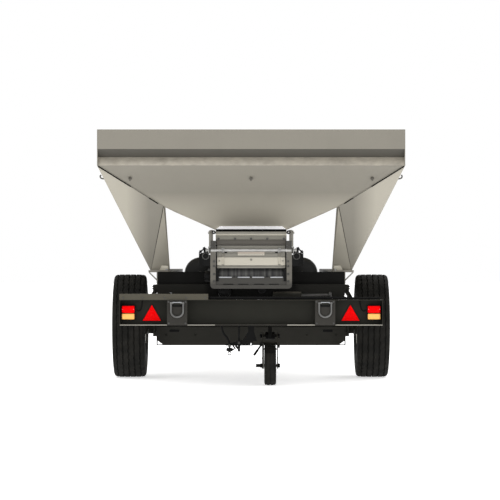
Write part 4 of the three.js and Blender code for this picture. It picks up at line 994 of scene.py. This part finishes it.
# Scraper: polished wear strips on a mid grey blade; belt roller bearings with bolts.
strips = Solid()
for x0, x1 in ((-268, -161), (-112, -12), (9, 109), (161, 265)):
    strips.box((x0, at(156), 908), (x1, at(159.7), 917.5))
strips.done("scraper_wear_strips", ZINC, bevel=0.8)
seals = Solid()
for _, side in SIDES:
    seals.box((side * 271.5, at(152), 880), (side * 295.5, at(159.5), 985))
for x in (-190, -66, 66, 190):
    seals.prism(rounded(x - 42.5, x + 42.5, 852.5, 858.5, 2.5), "Y", at(159), at(164))
seals.done("scraper_seals", BLACK, bevel=0.5)
ROLLERS, ROLLER_Z = (265, 3500), 920     # the belt's rollers: distances ahead, and height
bearings = Solid()
bearing_bolts = Solid()
for ahead in ROLLERS:
    for _, side in SIDES:
        if ahead < 1000 and side < 0:
            continue
        base = (side * 296, at(ahead), ROLLER_Z)
        bearings.turned([(20.5, 0), (46, 0), (46, 10), (40, 14), (30, 16), (28, 24), (20.5, 24)], base,
            (side, 0, 0), 40, closed=True)
        for u, v in circle(4, 38.5, 0.5):
            bearing_bolts.bolt((side * 306.5, at(ahead) + u, ROLLER_Z + v), (side, 0, 0), 5.5)
bearings.done("roller_bearings", CHARCOAL)
bearing_bolts.done("bearing_bolts", ZINC)

# ------------------------------------------------------------------ lamp beam
BEAM_FRONT = at(150)
BEAM_LOW, BEAM_TOP, BEAM_HALF = 514, 727, 1094
WEB_FACE = BEAM_FRONT - 6


def shrunk(outline, centre, amount):
    """An outline drawn in towards its centre by an amount on each axis."""
    result = []
    for u, v in outline:
        du, dv = u - centre[0], v - centre[1]
        result.append((centre[0] + du - math.copysign(min(amount, abs(du)), du),
            centre[1] + dv - math.copysign(min(amount, abs(dv)), dv)))
    return result


def dome_lens(name, outline, centre, base_y, depth, material, node):
    """A lens whose face swells towards the rear."""
    rings = [[(x, base_y, z) for x, z in outline]]
    for amount, share in ((0, 0.55), (1.5, 0.80), (4, 0.94), (10, 1)):
        rings.append([(x, base_y - depth * share, z) for x, z in shrunk(outline, centre, amount)])
    Solid().loops(rings).done(name, material, sharp=50, replaces=(node,))


LAMPS = (("stop", 617, 678, RED), ("turn", 562, 612.8, AMBER))
housings, lamp_screws = Solid(), Solid()
for name, side in SIDES:
    x0, x1 = pair(side, 968, 1077)
    centre_x = (x0 + x1) / 2
    housings.prism(rounded(x0 - 4, x1 + 4, 557, 683, 10), "Y", at(112), at(143.7))
    for lamp, z0, z1, material in LAMPS:
        dome_lens(f"{lamp}_lens_{name}", rounded(x0 + 1.5, x1 - 1.5, z0 + 1, z1 - 1, 8),
            (centre_x, (z0 + z1) / 2), at(112), 31, material, f"{lamp}_lamp_{name}")
        for x in (x0 + 10, x1 - 10):
            lamp_screws.turned([(3.5, 0), (3.3, 1.5), (1.5, 2.2)], (x, at(83.5), (z0 + z1) / 2),
                "-Y", 14)
    x = side * 827
    outer = [(x - 79, 550), (x + 79, 550), (x, 687)]
    middle = (x, 595.7)

    def towards(points, share):
        return [(middle[0] + (u - middle[0]) * share, middle[1] + (v - middle[1]) * share)
            for u, v in points]
    reflector = Solid()
    reflector.loops([[(u, at(143.7), v) for u, v in towards(outer, 0.985)],
        [(u, at(134.5), v) for u, v in towards(outer, 0.985)],
        [(u, at(133.5), v) for u, v in towards(outer, 0.93)],
        [(u, at(135), v) for u, v in towards(outer, 0.90)],
        [(u, at(135), v) for u, v in towards(outer, 0.30)],
        [(u, at(134), v) for u, v in towards(outer, 0.26)]])
    reflector.done(f"reflector_prism_{name}", RED, replaces=(f"reflector_{name}",))
    rim = Solid()
    rings = []
    for share, y in ((1, 143.7), (1, 131.8), (0.965, 131.8), (0.965, 143.7)):
        rings.append([(u, at(y), v) for u, v in towards(outer, share)])
    rim.loops(rings, closed=True)
    rim.done(f"reflector_rim_{name}", BLACK)
housings.done("lamp_housings", BLACK, bevel=1.5)
lamp_screws.done("lamp_screws", ZINC)

# Cover plates behind the lashing rings, and the rings themselves.
plates, plate_bolts, lug_shadows, caps = Solid(), Solid(), Solid(), Solid()
for name, side in SIDES:
    x = side * 614
    plates.prism(rounded(x - 83.5, x + 83.5, 516, 724.5, 8), "Y", at(50), at(51.7))
    # Black patch under each ring's bar: painted shadow.
    lug_shadows.prism(rounded(x - 40, x + 40, 668, 691.5, 6), "Y", at(48.8), at(50.2))
    for dx in (-70, 70):
        for z in (532, 710):
            plate_bolts.bolt((x + dx, at(50), z), "-Y", 7.5)
    # A thin zinc rod along the top of each ring's bar: a painted highlight.
    caps.turned([(0, -38.5), (4, -37), (4, 37), (0, 38.5)], (x, at(18), 706), "X", 20)
    body = f"{name}_ring"
    centre = Vector((x, at(36), 700))
    bow = []
    for i in range(25):
        angle = math.pi * i / 24
        bow.append((-50.5 * math.cos(angle), -66 - 50.5 * math.sin(angle)))
    line = [(-50.5, 0), (-50.5, -20), (-50.5, -45), *bow, (50.5, -45), (50.5, -20), (50.5, 0)]
    ring = Solid().sweep([centre + Vector((u, 0, v)) for u, v in line], 7.8, 16, 2)
    ring.turned([(6, -60), (8, -58), (8, 58), (6, 60)], centre, "X", 28)
    ring.done(f"lashing_ring_bent_{name}", RING_STEEL, body, replaces=(f"lashing_ring_{name}",))
plates.done("lashing_plates", LASHING_PAINT, bevel=0.8)
caps.done("lashing_bar_painted_highlights", ZINC)
lug_shadows.done("lashing_lug_painted_shadows", BLACK)
plate_bolts.done("lashing_plate_bolts", DARK_STEEL)

# Painted highlight along the lower edge of the beam, dimmer in the middle; the wiring and splash strip on
# its top, and the lamps' cables.
lit_flange_edge = Solid()
for x0, x1 in ((-1090, -300), (300, 1090)):
    lit_flange_edge.box((x0, at(59.2), BEAM_LOW + 0.8), (x1, at(64), BEAM_LOW + 6.8))
lit_flange_edge.done("beam_edge_painted_highlight", EDGE_HIGHLIGHT, bevel=0.8)
dim = Solid().box((-300, at(59.2), BEAM_LOW + 1), (300, at(64), BEAM_LOW + 6.6))
dim.done("beam_edge_middle", LASHING_PAINT, bevel=0.8)
loom = Solid()
loom.sweep([(-345, at(128), 738.5), (0, at(124), 738), (400, at(128), 738.5), (800, at(126), 738),
    (1040, at(128), 738), (1070, at(134.5), 734)], 10.5, 14, 12)
for x in (-200, 100, 400, 700, 980):
    loom.turned([(11.8, -6), (12.8, -4), (12.8, 4), (11.8, 6)], (x, at(127), 738.3), "X", 20)
loom.done("lamp_wiring_loom", HOSE, slot="black_paint")
splash = Solid().prism([(at(144), 727.2), (at(149), 727.2), (at(149), 752.5), (at(145.5), 752.5),
    (at(144), 749.5)], "X", -356, 789)
splash.done("beam_splash_strip", BLACK)
cables = Solid()
for _, side in SIDES:
    cables.sweep([(side * 952, at(140.5), 640), (side * 935, at(138.5), 632), (side * 915, at(138.5), 655),
        (side * 905, at(139), 715)], 4.2, 10, 8)
cables.done("lamp_cables", HOSE, slot="black_paint")

# Step board: raised anti-slip bars on its top, its bolts and a small zinc knob.
step = Solid()
for i in range(40):
    x = -1075 + i * 18.1
    step.prism([(x, 775.1), (x + 6, 775.1), (x + 4.5, 777.5), (x + 1.5, 777.5)], "Y", at(68), at(142))
step.done("step_grip_bars", STEP_PAINT)
step_bolts = Solid()
for x in (-1060, -900, -720, -540, -380):
    step_bolts.bolt((x, at(59.9), 744), "-Y", 6.5)
step_bolts.done("step_bolts", DARK_STEEL)
knob = Solid().turned([(0, 0), (6, 0), (6, 3), (8.5, 4), (9.5, 7), (7, 10), (0, 11)],
    (-665.5, at(105), 775.2), "Z", 28)
knob.done("step_marker_knob", ZINC)

# Welds between the beam's web and its arms and end caps.
beam_welds = Solid()
for _, side in SIDES:
    for x in (side * 607.5, side * 623.5):
        beam_welds.weld((x, BEAM_FRONT + 1, 545), (x, BEAM_FRONT + 1, 715), 3.5)
    edge = side * (BEAM_HALF - 6.5)
    beam_welds.weld((edge, WEB_FACE - 1, BEAM_LOW + 8), (edge, WEB_FACE - 1, BEAM_TOP - 8), 3)
beam_welds.done("beam_welds", CHARCOAL)

# ------------------------------------------------------------------ reservoirs and belt drive
TANK_X, TANK_Z, TANK_R = 434, 941, 133
TANK_FROM, TANK_TO = 640, 1440
fittings = Solid()
for name, side in SIDES:
    x = side * TANK_X
    dome = [(TANK_R * math.sin(t), 40 - 40 * math.cos(t)) for t in (math.pi / 2 * i / 8 for i in range(9))]
    length = TANK_TO - TANK_FROM
    profile = [*dome, (TANK_R, 45), (TANK_R + 2, 50), (TANK_R + 2, 62), (TANK_R, 67), (TANK_R, length - 67),
        (TANK_R + 2, length - 62), (TANK_R + 2, length - 50), (TANK_R, length - 45)]
    profile += [(r, length - a) for r, a in reversed(dome)]
    tank = Solid().turned(profile, (x, at(TANK_FROM), TANK_Z), "Y", 72)
    for ahead in (760, 1280):
        tank.box((side * 534, at(ahead), 880), (side * 669.5, at(ahead + 40), 920))
        tank.turned([(TANK_R + 0.5, -18), (TANK_R + 4, -18), (TANK_R + 4, 18), (TANK_R + 0.5, 18)],
            (x, at(ahead + 20), TANK_Z), "Y", 72, closed=True)
    tank.done(f"reservoir_domed_{name}", TANK_PAINT, replaces=(f"reservoir_{name}",))
    end = Vector((x, at(TANK_FROM) + 2, TANK_Z))
    fittings.turned([(0, 0), (19, 0), (19, 14), (0, 14)], end, "-Y", 6)
    fittings.turned([(0, 14), (10, 14), (10, 26), (0, 26)], end, "-Y", 24)
    drain = Vector((x, at(700), TANK_Z - TANK_R + 2))
    fittings.turned([(0, 0), (13, 0), (13, 12), (8, 20), (0, 20)], drain, "-Z", 6)
fittings.done("reservoir_fittings", DARK_STEEL)

motor = Solid()
ROLLER_Y = at(ROLLERS[0])
centre = (-296, ROLLER_Y, ROLLER_Z)
motor.turned([(21.5, 0.4), (56, 0.4), (56, 9), (54, 11), (47, 12), (47, 40), (44.5, 42), (44.5, 50),
    (47, 52), (47, 86), (43, 92.5), (20, 93.5), (20, 98.5), (0, 98.5)], centre, "-X", 56)
motor.done("belt_motor_turned", BLACK, replaces=("belt_motor",))
motor_bolts = Solid()
for u, v in circle(4, 49.5, 0.5):
    motor_bolts.bolt((-305.2, ROLLER_Y + u, ROLLER_Z + v), "-X", 5.5)
for dy in (-16, 16):
    motor_bolts.turned([(11, 0), (11, 10), (8, 12), (8, 20)], (-352, ROLLER_Y + dy, 964.5), "Z", 6)
motor_bolts.done("motor_fasteners", DARK_STEEL)

# ------------------------------------------------------------------ round covers and side ram
CROSS_FACE = at(350)
covers = Solid()
covers.turned([(0, 0), (55, 0), (55, 75), (51, 83), (40, 86), (38, 102), (20, 108), (0, 108)],
    (-224, CROSS_FACE, 790), "-Y", 48)
covers.turned([(0, 0), (36, 0), (36, 30), (31, 36), (20, 38), (0, 44)], (90, CROSS_FACE, 812),
    "-Y", 40)
covers.done("cross_member_hub_covers", BLACK)

RAM_Y, RAM_Z = at(300), 764
barrel = Solid().turned([(11.5, 422), (22, 422), (26.5, 419), (26.5, 404), (28, 402), (28, 196),
    (26.5, 194), (26.5, 184), (22, 182), (0, 182), (0, 285), (11.5, 290)], (0, RAM_Y, RAM_Z), "X", 48,
    closed=True)
for x0, x1 in ((205, 245), (380, 410)):
    barrel.box((x0, RAM_Y + 18, 750), (x1, CROSS_FACE - 0.3, 778))
barrel.done("ram_barrel_turned", CHARCOAL, replaces=("ram_barrel",))
ports = Solid()
for x in (200, 392):
    ports.turned([(10, 0), (10, 12), (7, 13), (7, 20)], (x, RAM_Y, RAM_Z - 26.5), "-Z", 6)
ports.done("ram_ports", ZINC)
rod = Solid().turned([(9.5, 300), (10.5, 301.5), (10.5, 650), (18, 650.5), (23.5, 653), (25, 656),
    (25, 669), (23.5, 672), (18, 675), (0, 675)], (0, RAM_Y, RAM_Z), "X", 40)
rod.done("ram_rod_turned", DARK_STEEL, "ram_piston", slot="chrome_rod", replaces=("ram_rod",))

# ------------------------------------------------------------------ couplers and hoses
HOSE_Y = at(375)
LEFT_X, RIGHT_X = -182, -102
PLATE_FROM, PLATE_TO = at(396), at(404)
PLATE_LOW, EYELET = 334, (-3, 349.5)      # lower edge; centre of the round hole
hole = [(EYELET[0] - 8.5 * math.sin(t), EYELET[1] - 8.5 * math.cos(t))
    for t in (math.radians(3 + 354 * i / 24) for i in range(25))]
plate = Solid().prism([(-25, 744.5), (-25, 452), (-69, 385), (-215, 346), (-215, PLATE_LOW),
    (hole[0][0], PLATE_LOW), *hole, (hole[-1][0], PLATE_LOW), (14, PLATE_LOW), (14, 372), (50, 372),
    (25, 452), (25, 744.5)], "Y", PLATE_FROM, PLATE_TO)
plate.done("coupler_plate", BLACK, replaces=("coupler_bracket",))
couplers = Solid()
couplers.turned([(0, 0), (8, 0), (12, 6), (23.5, 8), (25, 11), (25, 32), (22.5, 36), (10, 37), (6.5, 37.5),
    (6.5, 46.5), (0, 46.5)], (LEFT_X, HOSE_Y, 280), "Z", 40)
for u, v in circle(12, 24.6):
    couplers.turned([(2.4, 0), (3.2, 2), (3.2, 15), (2.4, 17)], (LEFT_X + u, HOSE_Y + v, 292.5), "Z", 8)
couplers.rod((LEFT_X + 18, HOSE_Y, 301), (LEFT_X + 37.5, HOSE_Y, 303.5), 7.5, 16)
for x, high in ((LEFT_X, 326.2), (RIGHT_X, 342)):
    couplers.box((x - 6, HOSE_Y, high - 5), (x + 6, PLATE_FROM + 1, high + 12))
couplers.rod((-153, HOSE_Y + 18, 336.5), (-133, HOSE_Y + 14, 305.5), 6.2, 14)
couplers.sweep([(-130, HOSE_Y + 18, 336), (-118, HOSE_Y + 10, 318), (-106, HOSE_Y, 306),
    (RIGHT_X, HOSE_Y, 296)], 8.5, 16, 8)
couplers.turned([(0, 0), (6, 0), (10, 3), (10, 30), (11.5, 33), (11.5, 59), (0, 59)],
    (RIGHT_X, HOSE_Y, 284), "Z", 32)
couplers.done("hose_couplers", BLACK)
pulls = Solid()
pulls.ring((LEFT_X, HOSE_Y, 270), "Y", 12.8, 3.6, 40, 10)
pulls.done("coupler_pull_ring", SCRAPER)
hoses = Solid()
hoses.sweep([(LEFT_X, HOSE_Y, 322.5), (LEFT_X, HOSE_Y, 345), (-200, HOSE_Y, 395), (-238, HOSE_Y, 450),
    (-252, HOSE_Y, 540), (-254, HOSE_Y, 650), (-254, HOSE_Y, 720), (-254, HOSE_Y, 744.5)], 8.8, 20, 10)
hoses.sweep([(RIGHT_X, HOSE_Y, 347.5), (RIGHT_X, HOSE_Y, 480), (RIGHT_X, HOSE_Y, 620),
    (RIGHT_X, HOSE_Y, 744.5)], 7.8, 20, 10)
hoses.done("hoses_smooth", HOSE, replaces=("hose_left", "hose_right"))
ferrules = Solid()
for x, low, radius in ((LEFT_X, 322.2, 12), (RIGHT_X, 347.2, 10.8)):
    ferrules.turned([(radius * 0.8, 0), (radius, 2), (radius, 20), (radius * 0.8, 23)],
        (x, HOSE_Y, low), "Z", 24)
for x, radius in ((-254, 12), (RIGHT_X, 10.8)):
    ferrules.turned([(radius * 0.8, 0), (radius, 2), (radius, 20), (radius * 1.25, 21), (radius * 1.25, 30),
        (radius * 0.8, 31)], (x, HOSE_Y, 713.5), "Z", 24)
ferrules.done("hose_ferrules", DARK_STEEL)
plate_pins = Solid()
for x, z in ((-142, 349), (34, 388), (-44, 366), (0, 560), (0, 700)):
    plate_pins.bolt((x, PLATE_FROM, z), "-Y", 8.5, stud=6)
plate_pins.done("coupler_plate_bolts", BLACK)

# ------------------------------------------------------------------ ground wheel's arm
LEVER = (at(470), 335)                # the lever's pivot, (Y, Z)
lever = Solid()
lever.turned([(10, 76), (10, 92.5), (8, 92.7), (0, 92.7), (0, 74.5), (8, 74.5)], (0, *LEVER), "X", 28)
lever.sweep([(84, *LEVER), (66, at(460), 310), (46, at(449.5), 282),
    (34, at(442.7), 265)], 7.8, 16, 8)
lever.turned([(7.8, -52), (9.4, -50), (10.2, -45), (10.2, 3), (9, 8), (5, 10.5), (0, 11)],
    (29, at(440), 258), (-0.571, -0.310, -0.800), 28)
lever.done("fork_lever_bent", BLACK, "arm_lever", replaces=("fork_lever",))
arm = Solid()
arm.turned([(12.1, 0), (13.5, 1), (13.5, 48), (12.1, 49)], (41, *AXLE), "X", 28, closed=True)
arm.turned([(0, 0), (12, 0), (13.5, 1.5), (13.5, 13.5), (12, 16), (0, 16)], (227.5, at(470), 323.5), "X", 6)
arm.prism([(at(460), 290), (at(515), 270), (at(515), 300), (at(480), 336), (at(458), 336)], "X", 223, 226.9)
for x0, x1 in ((90.5, 92.8), (227.2, 229.5)):
    for ahead, z in ((455, 226.7), (565, 348.3)):
        arm.turned([(0, 0), (9.5, 0), (9.5, x1 - x0), (0, x1 - x0)], (x0, at(ahead), z), "X", 20)
arm.done("fork_fasteners", BLACK, "ground_arm")
# Mud scraper over the small wheel, carried on a cross rod, and the fork's folded edge.
guard = Solid()
arc = [math.radians(42 + 96 * i / 24) for i in range(25)]
guard.prism([*[(AXLE[0] + 175 * math.cos(t), AXLE[1] + 175 * math.sin(t)) for t in arc],
    *[(AXLE[0] + 171.5 * math.cos(t), AXLE[1] + 171.5 * math.sin(t)) for t in reversed(arc)]],
    "X", 113, 208)
guard.rod((100.8, AXLE[0] + 120.7, AXLE[1] + 134.1), (219.2, AXLE[0] + 120.7, AXLE[1] + 134.1), 6, 16)
guard.done("ground_wheel_scraper", BLACK, "ground_arm")
FOLD_LOW, FOLD_HIGH = 184.7, 342        # heights between which the folded edge is straight
EDGE_Y, EDGE_Z = 0.670, 0.743           # its direction
slope = (FOLD_HIGH - FOLD_LOW) / EDGE_Z
edge = []
for radius in (28, 24):
    line = [(AXLE[0] - EDGE_Z * radius + EDGE_Y * slope, AXLE[1] + EDGE_Y * radius + EDGE_Z * slope)]
    line += [(AXLE[0] + radius * math.cos(t), AXLE[1] + radius * math.sin(t))
        for t in (math.radians(138 + 110 * i / 10) for i in range(11))]
    edge += line if radius == 28 else reversed(line)
fold = Solid().prism(edge, "X", 101.2, 109.8)
fold.done("fork_folded_edge", FORK_EDGE, "ground_arm")
grip = Solid()
grip.prism(star(84.5, 356, 13.5), "Y", at(432), at(444))
grip.rod((84.5, at(438), 356), (84.5, at(490), 356), 4, 14)
grip.box((79, at(486), 348), (92.7, at(494), 361))
grip.done("arm_setting_knob", BLACK, "ground_arm")

# ------------------------------------------------------------------ axle, drawbar, eye and jack
axle_bits = Solid()
for _, side in SIDES:
    for ahead in (1672, 1828):
        for z in (800, 820):
            axle_bits.bolt((side * 878.1, at(ahead), z - 6), (side, 0, 0), 7.5)
    for ahead in (1688, 1812):
        axle_bits.turned([(0, 0), (10, 0), (10, 17), (0, 17)], (side * 700, at(ahead), 743.5),
            "-Z", 6)
    axle_bits.bolt((side * 760, at(1686), 380), "-Y", 9.5)
    axle_bits.bolt((side * 500, at(1686), 380), "-Y", 9.5)
axle_bits.done("axle_bolts", CHARCOAL)
slot_plugs = Solid()
for _, side in SIDES:
    slot_plugs.prism(rounded(*pair(side, 644, 731), 406, 427, 5), "Y", at(1683.5), at(1686.2))
slot_plugs.done("cradle_slot_plugs", BLACK)
axle_welds = Solid()
for _, side in SIDES:
    for dx in (669.5, 730.5):
        axle_welds.weld((side * dx, at(1700.5), 511), (side * dx, at(1799.5), 511), 4)
    for ahead in (1699.5, 1800.5):
        axle_welds.weld((side * 670, at(ahead), 511), (side * 730, at(ahead), 511), 4)
axle_welds.done("axle_welds", CHARCOAL)
EYE_Y = cad_box[1].y / MM - 60
eye_bits = Solid()
for x in (-36, 36):
    for z in (514, 606):
        eye_bits.bolt((x, at(5200.3), z), "Y", 9, stud=4)
eye_bits.ring((0, EYE_Y, 580), "Z", 43, 4, 48, 8)
eye_bits.ring((0, EYE_Y, 540), "Z", 43, 4, 48, 8)
eye_bits.done("towing_eye_bolts", DARK_STEEL)
draw_welds = Solid()
for _, side in SIDES:
    draw_welds.weld((side * 60.5, at(2075), 650.5), (side * 60.5, at(2145), 650.5), 4)
    draw_welds.weld((side * 60.5, at(3775), 650.5), (side * 60.5, at(3845), 650.5), 4)
draw_welds.done("drawbar_welds", CHARCOAL)
caps = Solid()
for _, side in SIDES:
    x0, x1 = pair(side, 671, 789)
    caps.prism(rounded(x0, x1, 746, 851, 10), "Y", at(3860.2), at(3865))
caps.done("front_corner_plates", CHARCOAL, bevel=1)

JACK_X, JACK_Y = 190, at(4200)
CLAMP_Z = 600               # height of the screw that clamps the drop leg
clamp = Solid()
clamp.turned([(0, 0), (20, 0), (20, 10), (17, 13), (7.5, 13), (7.5, 50), (0, 50)],
    (JACK_X + 35.7, JACK_Y, CLAMP_Z), "X", 28)
clamp.turned([(0, -55), (6, -55), (6.8, -50), (5.5, -40), (5.5, 40), (6.8, 50), (6, 55), (0, 55)],
    (JACK_X + 80, JACK_Y, CLAMP_Z), "Z", 20)
clamp.done("jack_clamp", BLACK)
foot = Solid()
for dx, dy in ((-44, -44), (44, -44), (-44, 44), (44, 44)):
    foot.turned([(0, 0), (4.5, 0), (4.5, 1.5), (0, 2.5)], (JACK_X + dx, JACK_Y + dy, 12.1), "Z", 16)
foot.done("jack_foot_screws", ZINC, "parking_leg")

# ------------------------------------------------------------------ size and end
low, high = cad_box
